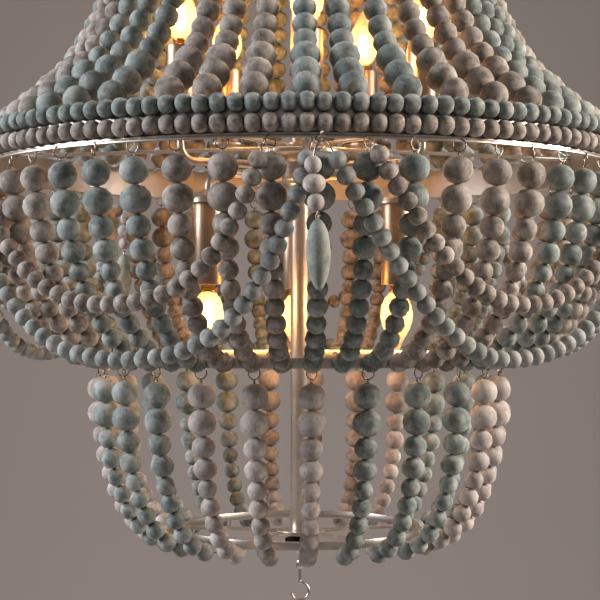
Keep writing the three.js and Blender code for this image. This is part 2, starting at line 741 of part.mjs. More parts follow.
// A link is a rounded loop in the vertical plane that its side vector stands square to.
function link(top, halfHeight, side) {
  const across = new THREE.Vector3(0, 0, 1).cross(side);
  const straight = halfHeight - LINK_HALF_WIDTH;
  const middle = top - halfHeight;
  const stations = [];
  [1, -1].forEach((end) => {
    for (let step = 0; step <= LINK_BEND_STEPS; step += 1) {
      const angle = (end > 0 ? 0 : Math.PI) + step / LINK_BEND_STEPS * Math.PI;
      const centre = across.clone().multiplyScalar(LINK_HALF_WIDTH * Math.cos(angle));
      centre.z = middle + end * straight + LINK_HALF_WIDTH * Math.sin(angle);
      stations.push({ centre, radius: LINK_WIRE_RADIUS, side });
    }
  });
  return sweep(stations, LINK_SIDES, true);
}

const FRONT = new THREE.Vector3(0, 1, 0);
const ACROSS = new THREE.Vector3(1, 0, 0);
const LINK_HALF_HEIGHT = 18;
const LOOP_HALF_HEIGHT = 12;
const linkSeat = 2 * LINK_WIRE_RADIUS + SEAT_GAP;

const collarTop = canopyBase - SEAT_GAP;
const collarBottom = collarTop - COLLAR_HEIGHT;
const collarLoopTop = collarBottom + LINK_WIRE_RADIUS;
const nippleTop = -BAR_HEIGHT - SEAT_GAP;
addPart('canopy_collar', joined(
  cylinder(COLLAR_RADIUS, collarBottom, collarTop, ROUND_SIDES),
  cylinder(CANOPY_HOLE_RADIUS - SEAT_GAP - CANOPY_WALL / 2, collarTop - OVERRUN, nippleTop, LIGHT_SIDES),
  link(collarLoopTop, LOOP_HALF_HEIGHT, FRONT),
), metalFinish());

let hangHeight = collarLoopTop - 2 * LOOP_HALF_HEIGHT;
[ACROSS, FRONT, ACROSS].forEach((side, index) => {
  const top = hangHeight + linkSeat;
  addPart(`chain_link_${index + 1}`, link(top, LINK_HALF_HEIGHT, side), metalFinish());
  hangHeight = top - 2 * LINK_HALF_HEIGHT;
});

const loopTop = hangHeight + linkSeat;
const loopCapTop = loopTop - 2 * LOOP_HALF_HEIGHT + LINK_WIRE_RADIUS;
const loopCapBottom = stemTop + SEAT_GAP;
addPart('stem_loop', joined(
  cylinder(COLLAR_RADIUS, loopCapBottom, loopCapTop, ROUND_SIDES),
  link(loopTop, LOOP_HALF_HEIGHT, FRONT),
), metalFinish());

export default group;
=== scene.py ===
# Beaded chandelier: turned wooden beads strung between four metal rings, with looped swags, pendants,
# five candle lights that stand up and three that hang down, on a short chain under a canopy.
# Places are in metres in the CAD frame: the origin is on the ceiling and +Z is up. A bearing of zero
# faces the front pendant, and grows to the right.

import random
from bisect import bisect_left
from math import acos, cos, cosh, floor, pi, radians, sin, sqrt, tau

import bpy
from mathutils import Matrix, Quaternion, Vector


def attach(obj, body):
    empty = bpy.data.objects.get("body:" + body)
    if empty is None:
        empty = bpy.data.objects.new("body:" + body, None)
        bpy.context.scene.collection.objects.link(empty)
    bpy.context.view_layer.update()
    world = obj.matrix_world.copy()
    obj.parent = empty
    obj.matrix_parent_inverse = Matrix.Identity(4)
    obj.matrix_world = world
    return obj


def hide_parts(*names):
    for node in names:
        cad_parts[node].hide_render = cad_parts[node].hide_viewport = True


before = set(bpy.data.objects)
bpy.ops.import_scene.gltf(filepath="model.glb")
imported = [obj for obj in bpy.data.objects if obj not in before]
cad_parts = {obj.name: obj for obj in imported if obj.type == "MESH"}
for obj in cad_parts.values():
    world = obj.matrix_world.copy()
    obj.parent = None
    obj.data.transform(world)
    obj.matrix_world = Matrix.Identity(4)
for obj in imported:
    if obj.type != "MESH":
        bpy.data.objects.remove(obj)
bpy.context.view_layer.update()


# Camera
# The photograph looks level at the stem from a step left of the front pendant, through a long lens
# whose view is shifted up, so that the tent's upper part leaves the frame.

MM = 0.001


def at(radius, bearing, height):
    """The point at a radius and bearing round the stem."""
    return Vector((radius * sin(bearing), -radius * cos(bearing), height))


def new_object(name, data):
    """An object in the scene, for a camera, a mesh or a lamp."""
    thing = bpy.data.objects.new(name, data)
    bpy.context.scene.collection.objects.link(thing)
    return thing


VIEW_BEARING = radians(-2.9)
VIEW_DISTANCE = 1509 * MM
VIEW_HEIGHT = -820 * MM
LENS_MM = 89.7
SHIFT_UP_SHARE = 0.0395

camera_data = bpy.data.cameras.new("camera")
camera_data.sensor_width = 36
camera_data.lens = LENS_MM
camera_data.shift_y = SHIFT_UP_SHARE
camera_data.clip_end = 50
camera = new_object("camera", camera_data)
camera.location = at(VIEW_DISTANCE, VIEW_BEARING, VIEW_HEIGHT)
camera.rotation_euler = (pi / 2, 0, VIEW_BEARING)
bpy.context.scene.camera = camera


# Plated metal
# Rings, stem, arms, cups, chain and canopy are steel with a satin champagne-silver plating, brushed as
# they turn, so that highlights are broad and warm. Jump rings and wires are bright drawn steel.

def linear(hex_colour):
    """An sRGB hex colour as Blender's linear red, green, blue and alpha."""
    shares = [int(hex_colour[start:start + 2], 16) / 255 for start in (1, 3, 5)]
    return (*[s / 12.92 if s <= 0.04045 else ((s + 0.055) / 1.055) ** 2.4 for s in shares], 1)


def add_node(tree, kind, inputs=None, **settings):
    """Adds a node with its options, and fills inputs with values, sockets or nodes' first outputs."""
    node = tree.nodes.new(kind)
    for name, value in settings.items():
        setattr(node, name, value)
    for name, value in (inputs or {}).items():
        if isinstance(value, bpy.types.Node):
            value = value.outputs[0]
        if isinstance(value, bpy.types.NodeSocket):
            tree.links.new(value, node.inputs[name])
        else:
            node.inputs[name].default_value = value
    return node


def new_material(name):
    """An empty material and its tree."""
    material = bpy.data.materials.new(name)
    material.use_nodes = True
    material.node_tree.nodes.clear()
    return material, material.node_tree


def show_surface(tree, shader):
    add_node(tree, "ShaderNodeOutputMaterial", {"Surface": shader})


# Brush lines are about 0.1 mm apart on the real plating, and are drawn at 0.7 mm so that they show.
BRUSH_ALONG = 12
BRUSH_ACROSS = 1400


def satin_metal(name, colour, worn, roughness, spread):
    material, tree = new_material(name)
    place = add_node(tree, "ShaderNodeTexCoord").outputs["Object"]
    brushed = add_node(tree, "ShaderNodeMapping", {
        "Vector": place, "Scale": (BRUSH_ALONG, BRUSH_ALONG, BRUSH_ACROSS)})
    lines = add_node(tree, "ShaderNodeTexNoise", {"Vector": brushed, "Scale": 1.0, "Detail": 2.0})
    clouds = add_node(tree, "ShaderNodeTexNoise", {
        "Vector": place, "Scale": 28.0, "Detail": 4.0, "Roughness": 0.6})
    both = add_node(tree, "ShaderNodeMath", {0: lines, 1: clouds}, operation="ADD")
    rough = add_node(tree, "ShaderNodeMapRange", {
        "Value": both, "From Min": 0.6, "From Max": 1.4,
        "To Min": roughness - spread, "To Max": roughness + spread})
    tarnish = add_node(tree, "ShaderNodeMapRange", {"Value": clouds, "From Min": 0.5, "From Max": 0.75})
    plated = add_node(tree, "ShaderNodeMix", {
        "Factor": tarnish, "A": linear(colour), "B": linear(worn)}, data_type="RGBA").outputs["Result"]
    bump = add_node(tree, "ShaderNodeBump", {"Height": lines, "Strength": 0.03, "Distance": 0.1 * MM})
    metal = add_node(tree, "ShaderNodeBsdfPrincipled", {
        "Base Color": plated, "Metallic": 1.0, "Roughness": rough, "Normal": bump})
    show_surface(tree, metal)
    return material


champagne = satin_metal("satin champagne plating on steel", "#d6cfc8", "#c2b8ae", 0.33, 0.03)
wire_metal = satin_metal("bright drawn steel wire", "#9a9087", "#766c62", 0.24, 0.04)


# Ceiling bar and canopy
# A flat steel bar screws to the ceiling box and carries a spun, plated canopy. Under the canopy a turned
# collar screws on and ends in a loop for the chain.

def mesh_object(name, points, faces):
    mesh = bpy.data.meshes.new(name)
    mesh.from_pydata([tuple(point) for point in points], [], faces)
    return new_object(name, mesh)


def in_mm(profile, foot=0):
    """Stands a profile drawn in millimetres on a height."""
    return [(radius * MM, foot + height * MM) for radius, height in profile]


def eased(profile, edge):
    """Rounds each inner corner of a profile, as a lathe hand breaks the edges."""
    points = [profile[0]]
    for before, corner, after in zip(profile, profile[1:], profile[2:]):
        before, corner, after = Vector(before), Vector(corner), Vector(after)
        reach = min(edge, (before - corner).length / 2.5, (after - corner).length / 2.5)
        start = corner + (before - corner).normalized() * reach
        end = corner + (after - corner).normalized() * reach
        points += [tuple(start), tuple(start * 0.25 + corner * 0.5 + end * 0.25), tuple(end)]
    return [*points, profile[-1]]


def lathe(name, profile, sides, closed=False):
    """Turns a profile of (radius, height) pairs round Z. It climbs on its outside; ends on the axis close."""
    points, rows = [], []
    for radius, height in profile:
        if radius < 1e-9:
            rows.append([len(points)] * sides)
            points.append((0, 0, height))
            continue
        rows.append(list(range(len(points), len(points) + sides)))
        points += [(radius * cos(tau * k / sides), radius * sin(tau * k / sides), height) for k in range(sides)]
    faces = []
    pairs = list(zip(rows, rows[1:])) + ([(rows[-1], rows[0])] if closed else [])
    for low, high in pairs:
        for k in range(sides):
            corners = [low[k], low[(k + 1) % sides], high[(k + 1) % sides], high[k]]
            corners = [corner for place, corner in enumerate(corners) if corner not in corners[:place]]
            if len(corners) > 2:
                faces.append(corners)
    return mesh_object(name, points, faces)


def finished(thing, material=champagne, crease=35):
    """Smooths a piece up to its creases and gives it its material."""
    thing.data.shade_smooth()
    thing.data.set_sharp_from_angle(angle=radians(crease))
    thing.data.materials.append(material)
    return thing


def hang(piece, *nodes, slot="satin_metal", body="frame"):
    """Makes a finished piece ride on its body in place of the CAD nodes."""
    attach(piece, body)
    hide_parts(*nodes)


def joined(name, things):
    """Joins mesh objects into one piece."""
    with bpy.context.temp_override(
            active_object=things[0], selected_objects=things, selected_editable_objects=things):
        bpy.ops.object.join()
    things[0].name = name
    return things[0]


def new_tree(name, **inputs):
    """A Geometry Nodes tree that changes a mesh by the given inputs, and its entry node."""
    tree = bpy.data.node_groups.new(name, "GeometryNodeTree")
    for way in ("INPUT", "OUTPUT"):
        tree.interface.new_socket("Geometry", in_out=way, socket_type="NodeSocketGeometry")
    for socket, kind in inputs.items():
        tree.interface.new_socket(socket, in_out="INPUT", socket_type="NodeSocket" + kind)
    return tree, add_node(tree, "NodeGroupInput")


# The tree draws a round wire of one thickness along each line of the seed mesh.
wire_tree, entry = new_tree("drawn wire", Radius="Float", Sides="Int", Finish="Material")
line = add_node(wire_tree, "GeometryNodeMeshToCurve", {"Mesh": entry.outputs["Geometry"]})
section = add_node(wire_tree, "GeometryNodeCurvePrimitiveCircle", {
    "Resolution": entry.outputs["Sides"], "Radius": entry.outputs["Radius"]})
drawn = add_node(wire_tree, "GeometryNodeCurveToMesh", {
    "Curve": line, "Profile Curve": section, "Fill Caps": True})
smooth = add_node(wire_tree, "GeometryNodeSetShadeSmooth", {"Geometry": drawn})
real = add_node(wire_tree, "GeometryNodeRealizeInstances", {"Geometry": smooth})
plated = add_node(wire_tree, "GeometryNodeSetMaterial", {"Geometry": real, "Material": entry.outputs["Finish"]})
add_node(wire_tree, "NodeGroupOutput", {"Geometry": plated})


def grown(name, seed_mesh, tree, settings):
    """Runs a tree on a seed mesh and keeps the result as a plain mesh piece."""
    seed = new_object(name + "_seed", seed_mesh)
    modifier = seed.modifiers.new("tree", "NODES")
    modifier.node_group = tree
    for socket in tree.interface.items_tree:
        if socket.name in settings:
            modifier[socket.identifier] = settings[socket.name]
    depsgraph = bpy.context.evaluated_depsgraph_get()
    result = bpy.data.meshes.new_from_object(seed.evaluated_get(depsgraph))
    seed.modifiers.clear()
    bpy.data.objects.remove(seed)
    result.name = name
    return new_object(name, result)


def wires(name, lines, radius, sides, material, closed=False):
    """Draws wire or rod along lists of points."""
    points, edges = [], []
    for path in lines:
        first = len(points)
        points += [tuple(point) for point in path]
        edges += [(place, place + 1) for place in range(first, len(points) - 1)]
        if closed:
            edges.append((len(points) - 1, first))
    mesh = bpy.data.meshes.new(name + "_lines")
    mesh.from_pydata(points, edges, [])
    return grown(name, mesh, wire_tree, {"Radius": radius, "Sides": sides, "Finish": material})


def block(name, size, centre, bearing, edge):
    """A flat bar with its long edges eased, turned to a bearing."""
    half = Vector(size) / 2
    section = []
    for y, z in [(-1, -1), (1, -1), (1, 1), (-1, 1)]:
        for inset_y, inset_z in ([(edge, 0), (0, edge)] if y * z < 0 else [(0, edge), (edge, 0)]):
            section.append((y * (half.y - inset_y), z * (half.z - inset_z)))
    rows = [(-half.x, edge), (-half.x + edge, 0), (half.x - edge, 0), (half.x, edge)]
    points, faces = [], []
    for x, inset in rows:
        points += [(x, y * (1 - inset / half.y), z * (1 - inset / half.z)) for y, z in section]
    count = len(section)
    for row in range(len(rows) - 1):
        for k in range(count):
            low, next_low = row * count + k, row * count + (k + 1) % count
            faces.append((low, next_low, next_low + count, low + count))
    faces.append(tuple(reversed(range(count))))
    faces.append(tuple(range(len(points) - count, len(points))))
    turn = Matrix.Rotation(bearing, 4, "Z")
    return mesh_object(name, [Vector(centre) + turn @ Vector(point) for point in points], faces)


SEAT_GAP = 0.3 * MM
BAR_THICK = 3 * MM
bar = block("bar", (104 * MM, 26 * MM, BAR_THICK), (0, 0, -BAR_THICK / 2), 0, 0.4 * MM)
hang(finished(bar), "mounting_bar", body="ceiling_mount")

CANOPY_BASE = -SEAT_GAP - 28 * MM
CANOPY_OUTSIDE = [(6, 0), (18, 0), (20, 1.4), (33, 1.4), (44, 3.2), (54, 7), (60.5, 12), (63.5, 17),
                  (64, 20), (66, 21.2), (66, 28)]
CANOPY_INSIDE = [(64.4, 28), (64.4, 22.6), (62.4, 21.4), (59, 13.2), (53, 8.6), (43.5, 4.8), (32.8, 3),
                 (6, 1.6)]
canopy = lathe("canopy", eased(in_mm(CANOPY_OUTSIDE + CANOPY_INSIDE, CANOPY_BASE), 0.6 * MM), 72, closed=True)
hang(finished(canopy), "ceiling_canopy", body="ceiling_mount")


LINK_WIRE = 2.4 * MM
LINK_HALF_WIDTH = 9 * MM
LINK_STEPS = 14
LOOP_HALF = 12 * MM


def link(name, top, half_height, across):
    """A closed long link of round rod, which stands in the plane of the across direction."""
    straight = half_height - LINK_HALF_WIDTH
    middle = top - half_height
    path = []
    for end in (1, -1):
        for step in range(LINK_STEPS + 1):
            angle = (0 if end > 0 else pi) + step / LINK_STEPS * pi
            path.append(Vector(across) * (LINK_HALF_WIDTH * cos(angle))
                        + Vector((0, 0, middle + end * straight + LINK_HALF_WIDTH * sin(angle))))
    return wires(name, [path], LINK_WIRE, 14, champagne, True)


COLLAR_TOP = CANOPY_BASE - SEAT_GAP
COLLAR_LOOP_TOP = COLLAR_TOP - 9 * MM + LINK_WIRE
COLLAR_PROFILE = [(0, -9), (6.5, -9), (7.5, -7.6), (11, -6.6), (12, -5), (12, -2.4), (10.6, -1.4),
                  (11.4, -0.4), (11.4, 0), (4.9, 0), (4.9, 25.3), (0, 25.3)]
collar = finished(lathe("collar", eased(in_mm(COLLAR_PROFILE, COLLAR_TOP), 0.5 * MM), 40))
collar_loop = link("collar_loop", COLLAR_LOOP_TOP, LOOP_HALF, (1, 0, 0))
hang(joined("collar_and_loop", [collar, collar_loop]), "canopy_collar", body="ceiling_mount")


# Chain
# Three long links of plated round rod, each bent to an oval and closed, hang between the canopy's loop
# and the stem's loop.

LINK_HALF = 18 * MM
LINK_SEAT = 2 * LINK_WIRE + SEAT_GAP
hang_height = COLLAR_LOOP_TOP - 2 * LOOP_HALF
for number, body in [(1, "first_link"), (2, "second_link"), (3, "third_link")]:
    across = (0, 1, 0) if number % 2 else (1, 0, 0)
    top = hang_height + LINK_SEAT
    hang(link(f"link_{number}", top, LINK_HALF, across), f"chain_link_{number}", body=body)
    hang_height = top - 2 * LINK_HALF


# Stem
# A plated tube, brushed coarser than the rings and painted paler for the light of the bulbs and lamps
# that it reflects, runs from the stem's loop down through all four rings. A blackened lock nut under the
# foot ring holds the stack together.

STEM_RADIUS = 9.5 * MM
STEM_TOP = -188 * MM
STEM_BOTTOM = -1034 * MM
stem_profile = [(0, STEM_BOTTOM), (STEM_RADIUS, STEM_BOTTOM), (STEM_RADIUS, STEM_TOP), (0, STEM_TOP)]
stem = lathe("stem", eased(stem_profile, 0.5 * MM), 48)
# A paler copy of the champagne plating, painted lighter to stand for the light the stem reflects.
stem_metal_painted_paler = satin_metal("coarse satin champagne plating on steel", "#e2dad2", "#cdc3ba", 0.38, 0.04)
hang(finished(stem, stem_metal_painted_paler), "center_stem")

LOOP_TOP = hang_height + LINK_SEAT
LOOP_CAP_TOP = LOOP_TOP - 2 * LOOP_HALF + LINK_WIRE
LOOP_CAP_BOTTOM = STEM_TOP + SEAT_GAP
# Each point of the cap is a radius in millimetres and a share of the cap's height.
LOOP_CAP = [(0, 0), (11, 0), (12, 0.08), (12, 0.5), (10.4, 0.6), (10.4, 0.72), (8, 0.86), (6, 1), (0, 1)]
cap_height = LOOP_CAP_TOP - LOOP_CAP_BOTTOM
cap_profile = [(radius * MM, LOOP_CAP_BOTTOM + cap_height * share) for radius, share in LOOP_CAP]
cap = finished(lathe("loop_cap", eased(cap_profile, 0.5 * MM), 40))
stem_loop = link("stem_loop_wire", LOOP_TOP, LOOP_HALF, (1, 0, 0))
hang(joined("loop_and_cap", [cap, stem_loop]), "stem_loop")

black_metal = satin_metal("blackened steel", "#2f2a27", "#1c1917", 0.42, 0.08)
NUT_TOP = STEM_BOTTOM - SEAT_GAP
NUT_BOTTOM = NUT_TOP - 9 * MM
NUT_FACE = 12.4 * MM
NUT_RADIUS = 15 * MM
NUT_EASE = 1.6 * MM
nut = lathe("nut", [(0, NUT_BOTTOM), (NUT_FACE, NUT_BOTTOM), (NUT_RADIUS, NUT_BOTTOM + NUT_EASE),
                    (NUT_RADIUS, NUT_TOP - NUT_EASE), (NUT_FACE, NUT_TOP), (0, NUT_TOP)], 6)
hang(finished(nut, black_metal, 20), "stem_nut", slot="dark_metal")


# Crown ring
# A flat steel hoop, welded by five round spokes to a collar on the stem, carries the tent's top ends.

CROWN_TOP = -204 * MM
BORE = 9.8 * MM
COLLAR_RADIUS = BORE + 4 * MM
RING_EDGE = 0.5 * MM
SPOKE_START = 11 * MM
SPOKE_ROD = 2 * MM


def hoop(name, inner, outer, bottom, top, sides):
    """A flat ring of metal with eased edges."""
    middle = (inner + outer) / 2
    corners = [(middle, bottom), (outer, bottom), (outer, top), (inner, top), (inner, bottom), (middle, bottom)]
    return finished(lathe(name, eased(corners, RING_EDGE)[:-1], sides, closed=True))


BAYS = 5
HALF_BAY = pi / BAYS


def spokes(name, start, outer, height):
    """One round rod to each bay, from the stem's collar out to a ring."""
    lines = [[at(reach, start + tau * n / BAYS, height) for reach in (SPOKE_START, outer)] for n in range(BAYS)]
    return wires(name, lines, SPOKE_ROD, 14, champagne)


CROWN_BOTTOM = CROWN_TOP - 10 * MM
crown_ring = joined("crown_ring", [
    hoop("crown_hoop", 112 * MM, 118 * MM, CROWN_BOTTOM, CROWN_TOP, 100),
    hoop("crown_collar", BORE, COLLAR_RADIUS, CROWN_BOTTOM, CROWN_TOP, 40),
    spokes("crown_spokes", 0, 115 * MM, CROWN_TOP - 5 * MM)])
hang(crown_ring, "upper_tier")


# Rim ring
# The widest ring is a rolled steel band. Its lower edge is turned out into a narrow lip, drilled with a
# hole for each strand, and five round spokes tie it to a collar on the stem.

RIM_RADIUS = 314 * MM
RIM_BOTTOM = -670 * MM
RIM_TOP = -638 * MM
RIM_PROFILE = [(312, 0), (313.2, -1.2), (315.2, -1.6), (316.6, -0.9), (316.6, 0.3), (315.4, 0.9),
               (316.2, 1.7), (316.2, 2.8), (315, 3.3), (314, 4.4), (314, 32), (312, 32)]
rim_band = lathe("rim_band", in_mm(RIM_PROFILE, RIM_BOTTOM), 200, closed=True)
hang(finished(rim_band), "rim_ring")

SPOKE_HEIGHT = RIM_BOTTOM + 28 * MM
spoke_ring = joined("rim_spoke_ring", [
    hoop("spoke_collar", BORE, COLLAR_RADIUS, SPOKE_HEIGHT - 4 * MM, SPOKE_HEIGHT + 4 * MM, 40),
    spokes("rim_spoke_rods", HALF_BAY, 311.6 * MM, SPOKE_HEIGHT)])
hang(spoke_ring, "rim_spokes")


# Waist ring
# A narrow flat hoop that hangs from the bowl's strands. The basket's strands hang from holes in it.

WAIST_RADIUS = 206 * MM
WAIST_BOTTOM = -859.5 * MM
WAIST_TOP = -849.9 * MM
waist_ring = hoop("waist_ring", WAIST_RADIUS - 4 * MM, WAIST_RADIUS, WAIST_BOTTOM, WAIST_TOP, 150)
hang(waist_ring, "middle_tier")


# Foot ring
# The smallest ring has five flat steel arms that meet in a plate on the stem, above the lock nut.

FOOT_RADIUS = 121 * MM
FOOT_BOTTOM = -1031 * MM
FOOT_ARM = (97 * MM, 12 * MM, 3 * MM)
foot_things = [
    hoop("foot_hoop", FOOT_RADIUS - 4 * MM, FOOT_RADIUS, FOOT_BOTTOM, FOOT_BOTTOM + 8 * MM, 100),
    hoop("foot_plate", BORE, 24 * MM, FOOT_BOTTOM - 0.2 * MM, FOOT_BOTTOM + 3.4 * MM, 48)]
for number in range(BAYS):
    bearing = HALF_BAY + number * 2 * HALF_BAY
    centre = at(70 * MM, bearing, FOOT_BOTTOM + FOOT_ARM[2] / 2)
    arm = block(f"foot_arm_{number}", FOOT_ARM, centre, bearing - pi / 2, 0.4 * MM)
    foot_things.append(finished(arm))
hang(joined("foot_ring", foot_things), "lower_tier")


# Arm hub
# A turned hub under the rim's spokes: a broad disc over a grooved waist, where the eight arms go in.

HUB_TOP = -646.3 * MM
HUB_PROFILE = [(9.8, -38), (13, -38), (16, -36.5), (18, -33), (22.6, -30.5), (24, -28), (24, -12),
               (26, -10.6), (38, -8), (47.6, -6.2), (50, -5), (50, -1.2), (48.6, 0), (40, 0), (38.6, -0.7),
               (37.4, 0), (9.8, 0)]
hub = lathe("hub", eased(in_mm(HUB_PROFILE, HUB_TOP), 0.4 * MM), 72, closed=True)
hang(finished(hub, crease=30), "arm_hub")


# Arms, cups and candle sleeves
# Each light's plated tube leaves the hub level and bends up or down into a spun cup. A brushed metal
# sleeve stands in the cup round a lamp socket on a thin post.

ARM_TUBE = 4 * MM
ARM_START = 22 * MM
ARM_BEND = 16 * MM
BEND_STEPS = 12
CUP_PROFILE = [(0, 0), (4.6, 0), (6.4, 1.2), (8.4, 1.8), (10.2, 3), (14.6, 4.6), (17.6, 8), (18.8, 11.6),
               (19, 13.4), (18.2, 13.8), (17.6, 11.9), (5, 11.9), (5, 68.5), (10.4, 68.5), (11, 69.4),
               (11, 92.3), (0, 92.3)]
SLEEVE_PROFILE = [(14, 12.3), (15, 12.3), (15, 92.3), (14, 92.3), (14, 12.3)]
BRASS_PROFILE = [(0, 92.6), (6.6, 92.6), (7.2, 93.6), (6.7, 94.6), (7.3, 95.6), (6.8, 96.6), (7.6, 97.6),
                 (7.6, 99.6), (6.9, 100.2), (0, 100.2)]
GLASS_PROFILE = [(0, 99.8), (6.6, 99.8), (8.2, 101.4), (11.4, 105.6), (14.4, 111.4), (15.8, 118.4),
                 (15.6, 125.2), (13.8, 132.6), (10.8, 139.4), (7.4, 145.6), (4.6, 150.8), (2.4, 155.4),
                 (1, 158), (0, 158.6)]
FILAMENT_PROFILE = [(0, 108), (2.4, 109), (4.4, 112), (4.8, 120), (4.4, 128), (2.4, 132), (0, 133)]

sleeve_metal = satin_metal("brushed champagne sleeve", "#b9a692", "#96826e", 0.36, 0.08)
brass = satin_metal("lamp brass", "#c79a55", "#9a7238", 0.3, 0.06)

# The glass is clear and thin, with a faint warm glow painted on it for the filament's light that fills the
# bulb.
glass, tree = new_material("clear lamp glass with painted glow")
clear = add_node(tree, "ShaderNodeBsdfPrincipled", {
    "Base Color": linear("#fff1dc"), "Roughness": 0.04, "IOR": 1.5, "Alpha": 0.22,
    "Emission Color": linear("#ffb869"), "Emission Strength": 0.35})
show_surface(tree, clear)
glow, tree = new_material("lit filament")
lit = add_node(tree, "ShaderNodeBsdfPrincipled", {
    "Base Color": linear("#ffd9a0"), "Emission Color": linear("#ffb15c"), "Emission Strength": 170.0})
show_surface(tree, lit)


def stood(thing, foot, side):
    """Stands a turned piece on its foot, or hangs it upside down from it."""
    for vertex in thing.data.vertices:
        x, y, z = vertex.co
        vertex.co = Vector((x, y * side, z * side)) + foot
    return thing


# Each light's reach from the stem, its bearing, its arm's height, and its cup's rise above the bend.
lights = [(125 * MM, tau * n / 5, -660.8 * MM, 4 * MM) for n in range(5)]
lights += [(106 * MM, pi + tau * n / 3, -672.8 * MM, -MM) for n in range(3)]
for number, (reach, bearing, height, rise) in enumerate(lights, 1):
    side = rise / abs(rise)
    foot = at(reach, bearing, height + side * ARM_BEND + rise)
    path = [at(ARM_START, bearing, height)]
    for step in range(BEND_STEPS + 1):
        angle = step / BEND_STEPS * pi / 2
        path.append(at(reach - ARM_BEND + ARM_BEND * sin(angle), bearing,
                       height + side * ARM_BEND * (1 - cos(angle))))
    path.append(foot + Vector((0, 0, side * MM)))
    tube = wires(f"arm_tube_{number}", [path], ARM_TUBE, 16, champagne)
    cup = stood(lathe(f"cup_{number}", eased(in_mm(CUP_PROFILE), 0.4 * MM), 40), foot, side)
    hang(joined(f"arm_and_cup_{number}", [tube, finished(cup, crease=30)]), f"arm_{number}")
    sleeve = lathe(f"sleeve_{number}", eased(in_mm(SLEEVE_PROFILE), 0.3 * MM)[:-1], 40, closed=True)
    hang(finished(stood(sleeve, foot, side), sleeve_metal), f"candle_sleeve_{number}", slot="candle_metal")
    for name, profile, sides, material, crease in [
            ("bulb_glass", GLASS_PROFILE, 32, glass, 60), ("bulb_base", BRASS_PROFILE, 24, brass, 35),
            ("filament", FILAMENT_PROFILE, 12, glow, 35)]:
        thing = stood(lathe(f"{name}_{number}", in_mm(profile), sides), foot, side)
        hang(finished(thing, material, crease), f"bulb_{number}", slot="bulb_glass")


# Washed wood
# Soft wood beads are turned with the grain along the bore and dipped in a thin chalky stain: it lies
# matt and uneven in soft clouds, takes darker in the grain, and differs from bead to bead.

# Clouds of stain are about 12 mm across, and grain lines are 0.5 mm apart, drawn here at 1 mm.
CLOUDS_PER_RADIUS = 1.1
GRAIN_ACROSS = 9
GRAIN_ALONG = 1.2


def washed_wood(name, pale, deep, tint, bare):
    """Pale and deep are the wash where it lies thick and thin, tint its second tone, bare the open cracks."""
    material, tree = new_material(name)
    place = add_node(tree, "ShaderNodeAttribute", attribute_name="bead_place").outputs["Vector"]
    shade = add_node(tree, "ShaderNodeAttribute", attribute_name="bead_shade").outputs["Fac"]
    own = add_node(tree, "ShaderNodeMath", {0: shade, 1: 60.0}, operation="MULTIPLY")
    other = add_node(tree, "ShaderNodeMath", {0: shade, 1: 37.0, 2: 90.0}, operation="MULTIPLY_ADD")
    clouds = add_node(tree, "ShaderNodeTexNoise", {
        "Vector": place, "W": own, "Scale": CLOUDS_PER_RADIUS, "Detail": 4.0, "Roughness": 0.55},
        noise_dimensions="4D")
    thick = add_node(tree, "ShaderNodeMapRange", {"Value": clouds, "From Min": 0.4, "From Max": 0.6})
    wash = add_node(tree, "ShaderNodeMix", {
        "Factor": thick, "A": linear(deep), "B": linear(pale)}, data_type="RGBA").outputs["Result"]
    patches = add_node(tree, "ShaderNodeTexNoise", {
        "Vector": place, "W": other, "Scale": CLOUDS_PER_RADIUS, "Detail": 3.0},
        noise_dimensions="4D")
    patch_share = add_node(tree, "ShaderNodeMapRange", {
        "Value": patches, "From Min": 0.46, "From Max": 0.68, "To Max": 0.8})
    patched = add_node(tree, "ShaderNodeMix", {
        "Factor": patch_share, "A": wash, "B": linear(tint)}, data_type="RGBA").outputs["Result"]
    along = add_node(tree, "ShaderNodeMapping", {
        "Vector": place, "Scale": (GRAIN_ACROSS, GRAIN_ACROSS, GRAIN_ALONG)})
    grain = add_node(tree, "ShaderNodeTexNoise", {
        "Vector": along, "W": own, "Scale": 1.0, "Detail": 3.0, "Roughness": 0.6},
        noise_dimensions="4D")
    cracks = add_node(tree, "ShaderNodeMapRange", {
        "Value": grain, "From Min": 0.63, "From Max": 0.72, "To Max": 0.7})
    stained = add_node(tree, "ShaderNodeMix", {
        "Factor": cracks, "A": patched, "B": linear(bare)}, data_type="RGBA").outputs["Result"]
    own_light = add_node(tree, "ShaderNodeMapRange", {"Value": shade, "To Min": 0.82, "To Max": 1.14})
    grain_light = add_node(tree, "ShaderNodeMapRange", {
        "Value": grain, "From Min": 0.35, "From Max": 0.65, "To Min": 1.1, "To Max": 0.86})
    lightness = add_node(tree, "ShaderNodeMath", {0: own_light, 1: grain_light}, operation="MULTIPLY")
    toned = add_node(tree, "ShaderNodeHueSaturation", {"Color": stained, "Value": lightness})
    bump = add_node(tree, "ShaderNodeBump", {"Height": grain, "Strength": 0.25, "Distance": 0.3 * MM})
    wood = add_node(tree, "ShaderNodeBsdfPrincipled", {
        "Base Color": toned, "Roughness": 0.78, "IOR": 1.45, "Specular IOR Level": 0.3, "Normal": bump})
    show_surface(tree, wood)
    return material


green_wood = washed_wood("washed wood blue-green", "#a1a5a2", "#68716f", "#80908d", "#453f38")
taupe_wood = washed_wood("washed wood taupe", "#b1a9a3", "#766e66", "#9c948e", "#4a4038")
swag_wood = washed_wood("washed wood grey-green", "#abaca9", "#7f8482", "#8f9796", "#504840")
# The pendants' own pale wash. The basket's taupe beads wear it too, painted lighter for the light on them.
pale_wood = washed_wood("washed wood pale, also basket taupe painted lighter", "#bdb5b1", "#978e8a", "#b0abaa", "#6b5c4e")
spindle_wood = washed_wood("washed wood sage", "#a3a9a2", "#858b83", "#96a39d", "#5c564c")


# Beads
# A bead is turned to a slightly flattened ball, bored along the grain and threaded on wire, no two
# quite the same size.

BORE_RADIUS = 2 * MM
DIMPLE_SHARE = 0.8
BALL_POWER = 2.12


